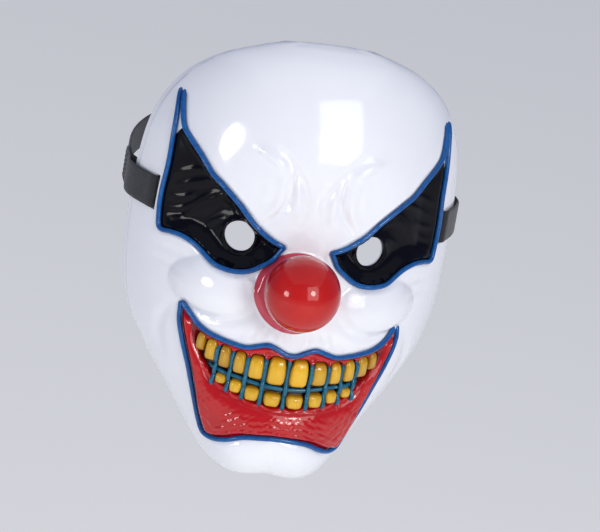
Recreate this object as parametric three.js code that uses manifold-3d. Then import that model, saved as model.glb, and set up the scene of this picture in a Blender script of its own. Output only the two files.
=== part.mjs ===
// A wearable clown mask with light-wire outlines: one moulded plastic face, a ball nose glued on it,
// thin wires that follow the eyes, the mouth and the teeth, and an elastic strap round the head.
// Millimetres. +Z is up, the face looks along -Y, and the origin is at the wearer's nose bridge.
import * as THREE from 'three';
import { mergeVertices } from 'three/addons/utils/BufferGeometryUtils.js';
import Module from 'manifold-3d';

const wasm = await Module();
wasm.setup();

// The moulded face as a whole
const FACE_HEIGHT = 208;
const FACE_WIDTH = 158;
const FACE_DEPTH = 66;
const WALL = 2.2;
const RIM_BAND = 4.5;
const RIM_STEP = 0.9;
const RIM_SLOPE = 1.6;

// Eyes and brows
const EYE_SPACING = 65.6;
const EYE_LEVEL = 1.9;
const EYE_HOLE = 14;
const EYE_BULGE_WIDTH = 32;
const EYE_BULGE = 4.5;
const SOCKET_DEPTH = 6.5;
const SOCKET_SLOPE = 9;
const SOCKET_FOLD = 0.9;
const FOLD_PITCH = 9;
const BROW_RIDGE = 3;
const BROW_SPREAD = 9;
const BROW_STEP = 5;
const FURROW_DEPTH = 1.6;
const FURROW_WIDTH = 5.5;

// Nose, cheeks, mouth and chin
const NOSE_DIAMETER = 36;
const NOSE_OFFSET = -2;
const NOSE_LEVEL = -15;
const NOSE_SINK = 6;
const NOSE_COLLAR = 3.2;
const NOSE_SEAT_CUT = 1;
const CHEEK_BULGE = 5;
const CHEEK_CREASE = 1.1;
const LIP_ROLL = 3.4;
const GUM_DEPTH = 1.6;
const GUM_SLOPE = 2.5;
const TOOTH_RISE = 2.8;
const CHIN_LOBE = 3;
const CHIN_DIMPLE = 1.5;

// Light wires
const OUTLINE_WIRE = 2.6;
const TOOTH_WIRE = 2.2;
const WIRE_TAIL = 4;
const WIRE_STEP = 5;
const TOOTH_WIRE_STEP = 4.5;

// Elastic strap
const STRAP_WIDTH = 16;
const STRAP_THICKNESS = 1.2;
const STRAP_LEVEL = 10;
const STRAP_BACK = 195;
const STRAP_SLOT_INSET = 21;
const STRAP_SEAM = 12;
const STRAP_PLAY = 0.6;

// Space kept between neighbouring pieces
const GAP = 0.3;

const HALF_WIDTH = FACE_WIDTH / 2;
const SIDE_SWEEP = THREE.MathUtils.degToRad(72);

// Sections of the face from the chin up. Heights are shares of FACE_HEIGHT, half is a share of
// HALF_WIDTH, and front and back are shares of FACE_DEPTH: mid and front on the midline, rim and
// back at the side edge.
const SECTIONS = [
  { mid: -0.548, front: -0.242, half: 0.253, rim: -0.529, back: -0.364 },
  { mid: -0.538, front: -0.045, half: 0.392, rim: -0.514, back: -0.424 },
  { mid: -0.495, front: 0.061, half: 0.506, rim: -0.471, back: -0.515 },
  { mid: -0.433, front: 0.076, half: 0.639, rim: -0.404, back: -0.636 },
  { mid: -0.356, front: 0.106, half: 0.797, rim: -0.322, back: -0.742 },
  { mid: -0.269, front: 0.121, half: 0.924, rim: -0.24, back: -0.818 },
  { mid: -0.183, front: 0.106, half: 0.981, rim: -0.149, back: -0.848 },
  { mid: -0.096, front: 0.076, half: 1.0, rim: -0.063, back: -0.879 },
  { mid: 0.0, front: 0.045, half: 1.0, rim: 0.029, back: -0.879 },
  { mid: 0.096, front: 0.061, half: 0.99, rim: 0.12, back: -0.864 },
  { mid: 0.192, front: 0.076, half: 0.957, rim: 0.207, back: -0.833 },
  { mid: 0.279, front: 0.03, half: 0.88, rim: 0.284, back: -0.773 },
  { mid: 0.356, front: -0.061, half: 0.76, rim: 0.346, back: -0.697 },
  { mid: 0.413, front: -0.182, half: 0.595, rim: 0.394, back: -0.606 },
  { mid: 0.444, front: -0.303, half: 0.41, rim: 0.424, back: -0.523 },
  { mid: 0.458, front: -0.394, half: 0.215, rim: 0.449, back: -0.47 },
];

// Outlines on the wearer's left half of the face, mirrored for the other half: x is a share of
// HALF_WIDTH and z a share of FACE_HEIGHT, seen from the front.
const BROW_LINE = [
  { x: 0.161, z: 0.012 }, { x: 0.241, z: 0.025 }, { x: 0.309, z: 0.042 }, { x: 0.382, z: 0.067 },
  { x: 0.462, z: 0.096 }, { x: 0.532, z: 0.118 }, { x: 0.601, z: 0.138 }, { x: 0.666, z: 0.168 },
  { x: 0.746, z: 0.2 }, { x: 0.785, z: 0.22 },
];
const UNDER_EYE_LINE = [
  { x: 0.154, z: 0.002 }, { x: 0.196, z: -0.025 }, { x: 0.262, z: -0.046 }, { x: 0.319, z: -0.06 },
  { x: 0.386, z: -0.067 }, { x: 0.459, z: -0.066 }, { x: 0.525, z: -0.059 }, { x: 0.586, z: -0.045 },
  { x: 0.639, z: -0.032 }, { x: 0.703, z: -0.024 }, { x: 0.766, z: -0.024 }, { x: 0.822, z: -0.027 },
];
const TEMPLE_LINE = [
  { x: 0.828, z: -0.026 }, { x: 0.843, z: 0.004 }, { x: 0.847, z: 0.055 }, { x: 0.836, z: 0.126 },
  { x: 0.833, z: 0.192 },
];
const LIP_LINE = [
  { x: 0.0, z: -0.235 }, { x: 0.032, z: -0.234 }, { x: 0.085, z: -0.225 }, { x: 0.143, z: -0.218 },
  { x: 0.203, z: -0.224 }, { x: 0.272, z: -0.232 }, { x: 0.348, z: -0.23 }, { x: 0.418, z: -0.226 },
  { x: 0.494, z: -0.219 }, { x: 0.557, z: -0.206 }, { x: 0.601, z: -0.19 },
];
const JAW_LINE = [
  { x: 0.66, z: -0.185 }, { x: 0.652, z: -0.216 }, { x: 0.614, z: -0.262 }, { x: 0.567, z: -0.308 },
  { x: 0.525, z: -0.353 }, { x: 0.484, z: -0.397 }, { x: 0.443, z: -0.438 }, { x: 0.403, z: -0.466 },
  { x: 0.348, z: -0.471 }, { x: 0.278, z: -0.463 }, { x: 0.184, z: -0.447 }, { x: 0.063, z: -0.441 },
  { x: 0.0, z: -0.44 },
];
const GUM_LINE = [
  { x: 0.0, z: -0.243 }, { x: 0.14, z: -0.232 }, { x: 0.272, z: -0.241 }, { x: 0.418, z: -0.236 },
  { x: 0.544, z: -0.216 }, { x: 0.588, z: -0.207 }, { x: 0.563, z: -0.25 }, { x: 0.506, z: -0.29 },
  { x: 0.449, z: -0.329 }, { x: 0.361, z: -0.355 }, { x: 0.247, z: -0.367 }, { x: 0.127, z: -0.373 },
  { x: 0.0, z: -0.375 },
];
const BITE_LINE = [
  { x: -0.477, z: -0.296 }, { x: -0.418, z: -0.303 }, { x: -0.342, z: -0.307 }, { x: -0.235, z: -0.313 },
  { x: -0.127, z: -0.318 }, { x: 0.0, z: -0.32 }, { x: 0.127, z: -0.318 }, { x: 0.235, z: -0.313 },
  { x: 0.342, z: -0.307 }, { x: 0.418, z: -0.303 }, { x: 0.477, z: -0.296 },
];

// Where the outline wires go into the face: at each temple and at one corner of the mouth
const TEMPLE_HOLE = { x: 0.813, z: 0.288 };
const MOUTH_HOLE = { x: 0.648, z: -0.171 };
const MOUTH_CORNER = { x: -0.655, z: -0.172 };

// Sideways lean of the folds beside each eye, as a share of their rise
const FOLD_SLANT = 0.62;

// Frown furrows beside the midline: waist and flare are shares of HALF_WIDTH, heights of
// FACE_HEIGHT, and depth is a share of FURROW_DEPTH.
const FURROWS = [
  { waist: 0.045, flare: 0.1, level: 0.105, reach: 0.1, depth: 0.8 },
  { waist: 0.155, flare: 0.1, level: 0.13, reach: 0.085, depth: 1.0 },
];

// Teeth on one half: x and width are shares of HALF_WIDTH, top and bottom of FACE_HEIGHT.
const TEETH = [
  { x: 0.07, width: 0.112, top: -0.243, bottom: -0.313 },
  { x: 0.194, width: 0.093, top: -0.247, bottom: -0.306 },
  { x: 0.293, width: 0.073, top: -0.245, bottom: -0.301 },
  { x: 0.381, width: 0.066, top: -0.238, bottom: -0.296 },
  { x: 0.462, width: 0.066, top: -0.23, bottom: -0.287 },
  { x: 0.524, width: 0.05, top: -0.222, bottom: -0.27 },
  { x: 0.07, width: 0.105, top: -0.33, bottom: -0.365 },
  { x: 0.194, width: 0.09, top: -0.323, bottom: -0.359 },
  { x: 0.293, width: 0.071, top: -0.315, bottom: -0.348 },
  { x: 0.381, width: 0.064, top: -0.308, bottom: -0.334 },
];

// Upright tooth wires between the teeth, with the same shares
const TOOTH_WIRES = [
  { x: -0.424, top: -0.249, bottom: -0.338 },
  { x: -0.339, top: -0.252, bottom: -0.348 },
  { x: -0.247, top: -0.252, bottom: -0.358 },
  { x: -0.141, top: -0.252, bottom: -0.364 },
  { x: 0.0, top: -0.247, bottom: -0.366 },
  { x: 0.141, top: -0.252, bottom: -0.364 },
  { x: 0.247, top: -0.252, bottom: -0.358 },
  { x: 0.339, top: -0.252, bottom: -0.348 },
  { x: 0.424, top: -0.249, bottom: -0.338 },
];

// How finely the face is divided: lines between two places, across (in sweep) and up (in height)
const ACROSS = [
  { to: 0.13, lines: 4 }, { to: 0.56, lines: 11 }, { to: 0.75, lines: 3 }, { to: 0.945, lines: 3 },
  { to: 0.965, lines: 1 }, { to: 1.0, lines: 1 },
];
const UPWARDS = [
  { to: -0.5, lines: 3 }, { to: -0.445, lines: 3 }, { to: -0.365, lines: 4 }, { to: -0.22, lines: 8 },
  { to: -0.077, lines: 5 }, { to: 0.144, lines: 11 }, { to: 0.28, lines: 4 }, { to: 0.458, lines: 4 },
];

const clamp = THREE.MathUtils.clamp;
const smooth = (from, to, t) => THREE.MathUtils.smoothstep(t, from, to);
const onFace = (p) => new THREE.Vector2(p.x * HALF_WIDTH, p.z * FACE_HEIGHT);

// One column of SECTIONS at v, from 0 at the chin to 1 at the crown, on a smooth curve through
// the rows.
function section(name, v) {
  const last = SECTIONS.length - 1;
  const t = clamp(v, 0, 1) * last;
  const i = Math.min(Math.floor(t), last - 1);
  const q = t - i;
  const b = SECTIONS[i][name];
  const c = SECTIONS[i + 1][name];
  const a = i > 0 ? SECTIONS[i - 1][name] : 2 * b - c;
  const d = i < last - 1 ? SECTIONS[i + 2][name] : 2 * c - b;
  const bend = 2 * a - 5 * b + 4 * c - d;
  const twist = 3 * b - a - 3 * c + d;
  return 0.5 * (2 * b + (c - a) * q + bend * q ** 2 + twist * q ** 3);
}

// The bare face at u, from -1 to 1 between the side edges, and v: each section is an arc of
// SIDE_SWEEP to either side, stretched to its half width and its depth.
function barePoint(u, v) {
  const sweep = SIDE_SWEEP * u;
  const back = (1 - Math.cos(sweep)) / (1 - Math.cos(SIDE_SWEEP));
  const front = section('front', v);
  const mid = section('mid', v);
  return new THREE.Vector3(
    HALF_WIDTH * section('half', v) * Math.sin(sweep) / Math.sin(SIDE_SWEEP),
    -FACE_DEPTH * (front + (section('back', v) - front) * back),
    FACE_HEIGHT * (mid + (section('rim', v) - mid) * u ** 2),
  );
}

function bareNormal(u, v) {
  const step = 1e-3;
  const across = barePoint(u + step, v).sub(barePoint(u - step, v));
  const low = Math.max(v - step, 0);
  const high = Math.min(v + step, 1);
  const up = barePoint(u, high).sub(barePoint(u, low));
  return across.cross(up).normalize();
}

// The u and v of the place that is seen at (x, z) from the front, by Newton's rule
function placeAt(x, z) {
  const step = 1e-4;
  let u = clamp(0.7 * x / HALF_WIDTH, -1, 1);
  let v = clamp(0.55 + z / FACE_HEIGHT, 0, 1);
  for (let turn = 0; turn < 20; turn += 1) {
    const p = barePoint(u, v);
    const du = barePoint(u + step, v).sub(p).divideScalar(step);
    const dv = barePoint(u, v + step).sub(p).divideScalar(step);
    const det = du.x * dv.z - dv.x * du.z;
    const ex = x - p.x;
    const ez = z - p.z;
    if (Math.abs(det) < 1e-6) break;
    u = clamp(u + clamp((ex * dv.z - ez * dv.x) / det, -0.2, 0.2), -1, 1);
    v = clamp(v + clamp((ez * du.x - ex * du.z) / det, -0.1, 0.1), 0, 1 - step);
  }
  return { u, v };
}

// Distance from p to a line of points, and whether a closed line holds p
function lineDistance(line, p) {
  let best = Infinity;
  for (let i = 1; i < line.length; i += 1) {
    const a = line[i - 1];
    const run = line[i].clone().sub(a);
    const share = clamp(p.clone().sub(a).dot(run) / run.lengthSq(), 0, 1);
    best = Math.min(best, a.clone().addScaledVector(run, share).distanceTo(p));
  }
  return best;
}

function holds(outline, p) {
  let inside = false;
  for (let i = 0, j = outline.length - 1; i < outline.length; j = i, i += 1) {
    const a = outline[i];
    const b = outline[j];
    const crosses = (a.y > p.y) !== (b.y > p.y);
    if (crosses && p.x < (b.x - a.x) * (p.y - a.y) / (b.y - a.y) + a.x) inside = !inside;
  }
  return inside;
}

const smoothLine = (rows) => new THREE.SplineCurve(rows.map(onFace)).getPoints(rows.length * 3);
const browLine = smoothLine(BROW_LINE);
const underEyeLine = smoothLine(UNDER_EYE_LINE);
const templeLine = smoothLine(TEMPLE_LINE);
const eyePatch = [...browLine, ...[...templeLine].reverse(), ...[...underEyeLine].reverse()];
const lipLine = smoothLine([...LIP_LINE, { x: 0.648, z: -0.176 }]);
const jawLine = smoothLine(JAW_LINE);
const mouthLine = [...lipLine, ...jawLine];
const gumLine = smoothLine(GUM_LINE);

// Eye region: sunk inside the outlines, with the eyeball's swell and slanting folds beside it
function eyeRelief(p) {
  if (!holds(eyePatch, p)) return 0;
  const fromBrow = lineDistance(browLine, p);
  const fromUnder = lineDistance(underEyeLine, p);
  const fromTemple = lineDistance(templeLine, p);
  const inward = 1 - 0.5 * smooth(0.35, 0.8, p.x / HALF_WIDTH);
  const sunk = smooth(0, BROW_STEP, fromBrow) * smooth(0, SOCKET_SLOPE, fromUnder)
    * smooth(0, SOCKET_SLOPE, fromTemple);
  const eye = Math.hypot(p.x - EYE_SPACING / 2, p.y - EYE_LEVEL) / (EYE_BULGE_WIDTH / 2);
  const swell = eye < 1 ? EYE_BULGE * Math.cos(eye * Math.PI / 2) ** 2 : 0;
  const outer = smooth(0.52, 0.62, p.x / HALF_WIDTH) * smooth(0, SOCKET_SLOPE, fromTemple);
  const folds = SOCKET_FOLD * outer * Math.sin((p.y + FOLD_SLANT * p.x) * 2 * Math.PI / FOLD_PITCH);
  return -SOCKET_DEPTH * inward * sunk + swell + folds * sunk;
}

// Brow ridge over each eye and the frown furrows between them
function browRelief(p) {
  const share = p.x / HALF_WIDTH;
  const along = smooth(0.08, 0.2, share) * (1 - smooth(0.45, 0.75, share));
  const above = lineDistance(browLine, p);
  const over = smooth(-BROW_SPREAD, 0, p.y);
  let height = holds(eyePatch, p) ? 0 : BROW_RIDGE * along * over * Math.exp(-((above / BROW_SPREAD) ** 2));
  for (const row of FURROWS) {
    const t = (p.y / FACE_HEIGHT - row.level) / row.reach;
    const x = HALF_WIDTH * (row.waist + row.flare * t ** 2);
    const off = (p.x - x) / (FURROW_WIDTH / 2);
    const fade = 1 - smooth(0.6, 1, Math.abs(t));
    height -= FURROW_DEPTH * row.depth * fade * Math.exp(-(off ** 2));
  }
  return height;
}

// Apple cheeks with a crease below, and the moulded base that the ball nose sits on
function cheekRelief(p) {
  const dx = (p.x / HALF_WIDTH - 0.49) / 0.26;
  const dz = (p.y / FACE_HEIGHT + 0.118) / 0.068;
  const r = Math.hypot(dx, dz);
  const ball = r < 1 ? CHEEK_BULGE * (1 - r ** 2) ** 0.8 : 0;
  const below = Math.exp(-(((r - 1.12) / 0.14) ** 2)) * smooth(0.2, 0.8, -dz);
  return holds(eyePatch, p) ? 0 : ball - CHEEK_CREASE * below;
}

function noseRelief(x, z) {
  const r = Math.hypot(x - NOSE_OFFSET, z - NOSE_LEVEL + NOSE_COLLAR) - NOSE_DIAMETER / 2;
  return NOSE_COLLAR * (1 - smooth(0, NOSE_COLLAR, r));
}

// Mouth: rolled lips between the outline and the gums, and sunk gums that carry the teeth
function mouthRelief(p) {
  if (!holds(mouthLine, p)) return 0;
  const fromEdge = Math.min(lineDistance(lipLine, p), lineDistance(jawLine, p));
  const fromGum = lineDistance(gumLine, p);
  if (holds(gumLine, p)) return -GUM_DEPTH * smooth(0, GUM_SLOPE, fromGum);
  const width = fromEdge + fromGum;
  return Math.min(LIP_ROLL, 0.3 * width) * Math.sin(Math.PI * fromEdge / width);
}

function chinRelief(p) {
  const lobe = Math.hypot(p.x / HALF_WIDTH - 0.2, 2.6 * (p.y / FACE_HEIGHT + 0.515)) / 0.17;
  const dimple = Math.hypot(p.x / HALF_WIDTH, 2.6 * (p.y / FACE_HEIGHT + 0.535)) / 0.13;
  return CHIN_LOBE * Math.exp(-(lobe ** 2)) - CHIN_DIMPLE * Math.exp(-(dimple ** 2));
}

// Distance to the edge of the moulding, measured along the face
function rimDistance(u, v) {
  const side = (1 - Math.abs(u)) * SIDE_SWEEP * HALF_WIDTH * section('half', v);
  const p = barePoint(u, v);
  return Math.min(side, p.distanceTo(barePoint(u, 0)), p.distanceTo(barePoint(u, 1)));
}

// Height of the moulded skin over the bare face
function relief(u, v) {
  const bare = barePoint(u, v);
  const p = new THREE.Vector2(Math.abs(bare.x), bare.z);
  const rim = RIM_STEP * (1 - smooth(RIM_BAND - RIM_SLOPE / 2, RIM_BAND + RIM_SLOPE / 2, rimDistance(u, v)));
  const middle = noseRelief(bare.x, bare.z) + mouthRelief(p) + chinRelief(p);
  return eyeRelief(p) + browRelief(p) + cheekRelief(p) + middle - rim;
}

const skinPoint = (u, v, height) => barePoint(u, v).addScaledVector(bareNormal(u, v), height);

// A closed geometry as a solid to join and cut, and the way back
function toSolid(geometry) {
  geometry.deleteAttribute('normal');
  geometry.deleteAttribute('uv');
  const merged = mergeVertices(geometry, 1e-5);
  return new wasm.Manifold(new wasm.Mesh({
    numProp: 3,
    vertProperties: new Float32Array(merged.attributes.position.array),
    triVerts: new Uint32Array(merged.index.array),
  }));
}

function toGeometry(solid) {
  const mesh = solid.getMesh();
  const geometry = new THREE.BufferGeometry();
  geometry.setAttribute('position', new THREE.BufferAttribute(new Float32Array(mesh.vertProperties), 3));
  geometry.setIndex(new THREE.BufferAttribute(new Uint32Array(mesh.triVerts), 1));
  geometry.computeVertexNormals();
  return geometry;
}

// Division lines of the face: u from edge to edge, and v at the wanted heights on the midline
function divide(start, rows) {
  const lines = [start];
  for (const row of rows) {
    const from = lines[lines.length - 1];
    for (let k = 1; k <= row.lines; k += 1) lines.push(from + (row.to - from) * k / row.lines);
  }
  return lines;
}

function faceLines() {
  const half = divide(0, ACROSS);
  const us = [...half.slice(1).map((u) => -u).reverse(), ...half];
  const vs = divide(SECTIONS[0].mid, UPWARDS).map((z) => placeAt(0, z * FACE_HEIGHT).v);
  vs[0] = 0;
  vs[vs.length - 1] = 1;
  return { us, vs };
}

// The moulding: a fine outer skin, an inner skin on every second line that keeps at least WALL
// behind it, and a closed edge between the two.
function moulding() {
  const { us, vs } = faceLines();
  const columns = us.length;
  const heights = vs.map((v) => us.map((u) => relief(u, v)));
  const positions = [];
  const faces = [];
  const outer = (i, j) => j * columns + i;
  vs.forEach((v, j) => us.forEach((u, i) => positions.push(...skinPoint(u, v, heights[j][i]))));
  for (let j = 0; j + 1 < vs.length; j += 1) {
    for (let i = 0; i + 1 < columns; i += 1) {
      const [a, b, c, d] = [outer(i, j), outer(i + 1, j), outer(i + 1, j + 1), outer(i, j + 1)];
      if (Math.abs(heights[j][i] - heights[j + 1][i + 1]) < Math.abs(heights[j][i + 1] - heights[j + 1][i])) {
        faces.push(a, b, c, a, c, d);
      } else {
        faces.push(a, b, d, b, c, d);
      }
    }
  }
  const start = positions.length / 3;
  const innerColumns = (columns + 1) / 2;
  const inner = (i, j) => start + (j / 2) * innerColumns + i / 2;
  for (let j = 0; j < vs.length; j += 2) {
    for (let i = 0; i < columns; i += 2) {
      let lowest = Infinity;
      for (let dj = -2; dj <= 2; dj += 1) {
        for (let di = -2; di <= 2; di += 1) {
          const row = heights[clamp(j + dj, 0, vs.length - 1)];
          lowest = Math.min(lowest, row[clamp(i + di, 0, columns - 1)]);
        }
      }
      positions.push(...skinPoint(us[i], vs[j], lowest - WALL));
    }
  }
  for (let j = 0; j + 2 < vs.length; j += 2) {
    for (let i = 0; i + 2 < columns; i += 2) {
      const [a, b, c, d] = [inner(i, j), inner(i + 2, j), inner(i + 2, j + 2), inner(i, j + 2)];
      faces.push(a, c, b, a, d, c);
    }
  }
  const edge = (outerA, outerB, outerC, innerA, innerC) => {
    faces.push(outerA, innerA, outerB, outerB, innerC, outerC, outerB, innerA, innerC);
  };
  const top = vs.length - 1;
  const right = columns - 1;
  for (let i = 0; i < right; i += 2) {
    edge(outer(i, 0), outer(i + 1, 0), outer(i + 2, 0), inner(i, 0), inner(i + 2, 0));
    edge(outer(i + 2, top), outer(i + 1, top), outer(i, top), inner(i + 2, top), inner(i, top));
  }
  for (let j = 0; j < top; j += 2) {
    edge(outer(0, j + 2), outer(0, j + 1), outer(0, j), inner(0, j + 2), inner(0, j));
    edge(outer(right, j), outer(right, j + 1), outer(right, j + 2), inner(right, j), inner(right, j + 2));
  }
  const geometry = new THREE.BufferGeometry();
  geometry.setAttribute('position', new THREE.BufferAttribute(new Float32Array(positions), 3));
  geometry.setIndex(faces);
  return toSolid(geometry);
}

// A tooth: a ball squared towards its crown, as wide and as tall as its place on the gums
function tooth(row, side) {
  const x = side * row.x * HALF_WIDTH;
  const halfWidth = row.width * HALF_WIDTH / 2;
  const middle = (row.top + row.bottom) / 2 * FACE_HEIGHT;
  const seat = (px, pz) => {
    const { u, v } = placeAt(px, pz);
    return skinPoint(u, v, relief(u, v));
  };
  const across = seat(x + halfWidth, middle).sub(seat(x - halfWidth, middle));
  const up = seat(x, row.top * FACE_HEIGHT).sub(seat(x, row.bottom * FACE_HEIGHT));
  const width = across.length();
  const height = up.length();
  across.normalize();
  up.addScaledVector(across, -up.dot(across)).normalize();
  const inward = up.clone().cross(across);
  const geometry = new THREE.SphereGeometry(1, 6, 4);
  const place = geometry.attributes.position;
  for (let k = 0; k < place.count; k += 1) {
    const squared = ['getX', 'getY', 'getZ'].map((get) => {
      const value = place[get](k);
      return Math.sign(value) * Math.abs(value) ** 0.75;
    });
    place.setXYZ(k, squared[0] * width / 2, squared[1] * height / 2, squared[2] * TOOTH_RISE);
  }
  const turn = new THREE.Matrix4().makeBasis(across, up, inward.negate());
  geometry.applyMatrix4(turn.setPosition(seat(x, middle)));
  return toSolid(geometry);
}

// A round hole through the wall, square to it
function drill(spot, diameter) {
  const { u, v } = placeAt(spot.x, spot.y);
  const geometry = new THREE.CylinderGeometry(diameter / 2, diameter / 2, 8 * WALL, 10);
  const turn = new THREE.Quaternion().setFromUnitVectors(new THREE.Vector3(0, 1, 0), bareNormal(u, v));
  geometry.applyQuaternion(turn);
  geometry.translate(...skinPoint(u, v, relief(u, v)));
  return toSolid(geometry);
}

function eyeHole(side) {
  const geometry = new THREE.CylinderGeometry(EYE_HOLE / 2, EYE_HOLE / 2, FACE_DEPTH / 2, 16);
  geometry.translate(side * EYE_SPACING / 2, 0, EYE_LEVEL);
  return toSolid(geometry);
}

// Plan of the side wall at the strap's level, from the slot to the edge
function strapWall(side) {
  const places = [];
  for (let k = 0; k <= 4; k += 1) {
    const share = 1 - (1 - k / 4) * STRAP_SLOT_INSET / (SIDE_SWEEP * HALF_WIDTH);
    let v = 0.55;
    for (let turn = 0; turn < 20; turn += 1) {
      const step = 1e-4;
      const z = barePoint(share, v).z;
      v += (STRAP_LEVEL - z) * step / (barePoint(share, v + step).z - z);
    }
    places.push({ u: side * share, v });
  }
  return places;
}

const wallOffset = (place, height) => {
  const p = barePoint(place.u, place.v);
  const n = bareNormal(place.u, place.v);
  const flat = new THREE.Vector2(n.x, n.y).normalize();
  return new THREE.Vector2(p.x, p.y).addScaledVector(flat, height);
};

function strapSlot(side) {
  const place = strapWall(side)[0];
  const width = STRAP_THICKNESS + 2 * STRAP_PLAY;
  const geometry = new THREE.BoxGeometry(8 * WALL, width, STRAP_WIDTH + 2 * STRAP_PLAY);
  const n = bareNormal(place.u, place.v);
  geometry.rotateZ(Math.atan2(n.y, n.x));
  const centre = wallOffset(place, 0);
  geometry.translate(centre.x, centre.y, STRAP_LEVEL);
  return toSolid(geometry);
}

// A flat ribbon on its edge along plan points, as wide as the strap
function ribbon(points, thickness) {
  const outline = [[], []];
  points.forEach((p, k) => {
    const before = points[Math.max(k - 1, 0)];
    const after = points[Math.min(k + 1, points.length - 1)];
    const inDir = (k > 0 ? p.clone().sub(before) : after.clone().sub(p)).normalize();
    const outDir = (k + 1 < points.length ? after.clone().sub(p) : inDir.clone()).normalize();
    const along = inDir.clone().add(outDir).normalize();
    const across = new THREE.Vector2(-along.y, along.x);
    const reach = thickness / 2 / Math.max(0.5, across.dot(new THREE.Vector2(-inDir.y, inDir.x)));
    outline[0].push(p.clone().addScaledVector(across, reach));
    outline[1].unshift(p.clone().addScaledVector(across, -reach));
  });
  const shape = new THREE.Shape([...outline[0], ...outline[1]]);
  const geometry = new THREE.ExtrudeGeometry(shape, { depth: STRAP_WIDTH, bevelEnabled: false });
  geometry.translate(0, 0, STRAP_LEVEL - STRAP_WIDTH / 2);
  return toSolid(geometry);
}

// How far the face stands out of the bare wall across the strap's width, seen from one side of it:
// from is 1 for the outside and -1 for the inside.
function wallStand(place, from, wall) {
  const far = FACE_DEPTH / 2;
  const start = wallOffset(place, from * far);
  const toWall = wallOffset(place, 0).sub(start).normalize();
  let nearest = far;
  for (let k = -2; k <= 2; k += 1) {
    const z = STRAP_LEVEL + k * STRAP_WIDTH / 4;
    caster.set(new THREE.Vector3(start.x, start.y, z), new THREE.Vector3(toWall.x, toWall.y, 0));
    caster.far = 2 * far;
    const hit = caster.intersectObject(wall, false)[0];
    if (hit) nearest = Math.min(nearest, hit.distance);
  }
  return from * (far - nearest);
}

// The strap passes through each slot, round the edge of the face and back on itself, and runs
// round the back of the head between the two seams.
function strap(face) {
  const clear = STRAP_PLAY + STRAP_THICKNESS / 2;
  const loops = [];
  const seams = [];
  for (const side of [-1, 1]) {
    const wall = strapWall(side);
    const edge = wallOffset(wall[4], 0);
    const seam = new THREE.Vector2(edge.x - side * WALL / 2, edge.y + STRAP_SEAM);
    const tip = new THREE.Vector2(seam.x, seam.y + STRAP_THICKNESS);
    const stands = wall.map((place) => [wallStand(place, 1, face), wallStand(place, -1, face)]);
    const outside = Math.max(...stands.map((stand) => stand[0])) + clear;
    const inside = Math.min(-WALL, ...stands.map((stand) => stand[1])) - clear;
    const outer = wall.map((place) => wallOffset(place, outside)).reverse();
    const inner = wall.map((place) => wallOffset(place, inside));
    loops.push(ribbon([tip, ...outer, inner[0]], STRAP_THICKNESS));
    loops.push(ribbon([...inner, tip], STRAP_THICKNESS));
    seams.push(seam);
  }
  const [left, right] = seams;
  const middle = left.clone().add(right).multiplyScalar(0.5);
  const reachX = (right.x - left.x) / 2;
  const reachY = STRAP_BACK - middle.y;
  const band = [];
  for (let k = 0; k <= 24; k += 1) {
    const turn = Math.PI * k / 24;
    band.push(new THREE.Vector2(middle.x - reachX * Math.cos(turn), middle.y + reachY * Math.sin(turn)));
  }
  return loops.reduce((whole, leg) => whole.add(leg), ribbon(band, STRAP_THICKNESS));
}

// Wires. Each lies on whatever is under it: at every step the highest spot below the wire's width
// is found from outside, and the wire's middle keeps GAP and half its thickness over it.
const caster = new THREE.Raycaster();

function surfaceHeight(x, z, obstacles) {
  const { u, v } = placeAt(x, z);
  const bare = barePoint(u, v);
  const n = bareNormal(u, v);
  const far = FACE_DEPTH / 2;
  caster.set(bare.clone().addScaledVector(n, far), n.clone().negate());
  caster.far = far + SOCKET_DEPTH + WALL;
  const hit = caster.intersectObjects(obstacles, false)[0];
  return hit ? far - hit.distance : relief(u, v);
}

function seatedPath(spots, diameter, obstacles) {
  const guide = new THREE.SplineCurve(spots);
  const count = Math.ceil(guide.getLength() / (diameter * 0.6));
  const flat = guide.getSpacedPoints(count);
  const radius = diameter / 2;
  const heights = flat.map((p, k) => {
    const along = flat[Math.min(k + 1, count)].clone().sub(flat[Math.max(k - 1, 0)]).normalize();
    const across = new THREE.Vector2(-along.y, along.x).multiplyScalar(0.8 * radius);
    const middle = surfaceHeight(p.x, p.y, obstacles);
    const sides = [-1, 1].map((s) => surfaceHeight(p.x + s * across.x, p.y + s * across.y, obstacles));
    return Math.max(middle, sides[0] - radius / 5, sides[1] - radius / 5);
  });
  return flat.map((p, k) => {
    const near = heights.slice(Math.max(k - 2, 0), k + 3);
    const { u, v } = placeAt(p.x, p.y);
    return skinPoint(u, v, Math.max(...near) + radius + GAP);
  });
}

// The tail of an outline wire: over the middle of its hole and square through the wall
function tail(spot) {
  const { u, v } = placeAt(spot.x, spot.y);
  const top = relief(u, v) + OUTLINE_WIRE / 2;
  return [skinPoint(u, v, top), skinPoint(u, v, top - WALL - WIRE_TAIL)];
}

function wireGeometry(points, diameter, sides, stepLength) {
  const path = new THREE.CatmullRomCurve3(points, false, 'centripetal');
  const shape = new THREE.Shape().absarc(0, 0, diameter / 2, 0, 2 * Math.PI);
  const steps = Math.ceil(path.getLength() / stepLength);
  const options = { steps, curveSegments: sides / 2, extrudePath: path, bevelEnabled: false };
  const geometry = new THREE.ExtrudeGeometry(shape, options);
  geometry.deleteAttribute('normal');
  geometry.deleteAttribute('uv');
  return mergeVertices(geometry, 1e-4);
}

// Two legs of an outline wire lie side by side where they meet: pitch is from middle to middle
const LEG_PITCH = OUTLINE_WIRE + 2 * GAP;

// The spot that lies a distance to the side of another, measured along the face
function beside(spot, distance) {
  const { u, v } = placeAt(spot.x, spot.y);
  const step = 1e-3;
  const across = barePoint(u + step, v).sub(barePoint(u - step, v)).normalize();
  return new THREE.Vector2(spot.x + across.x * distance, spot.y + across.z * distance);
}

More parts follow.
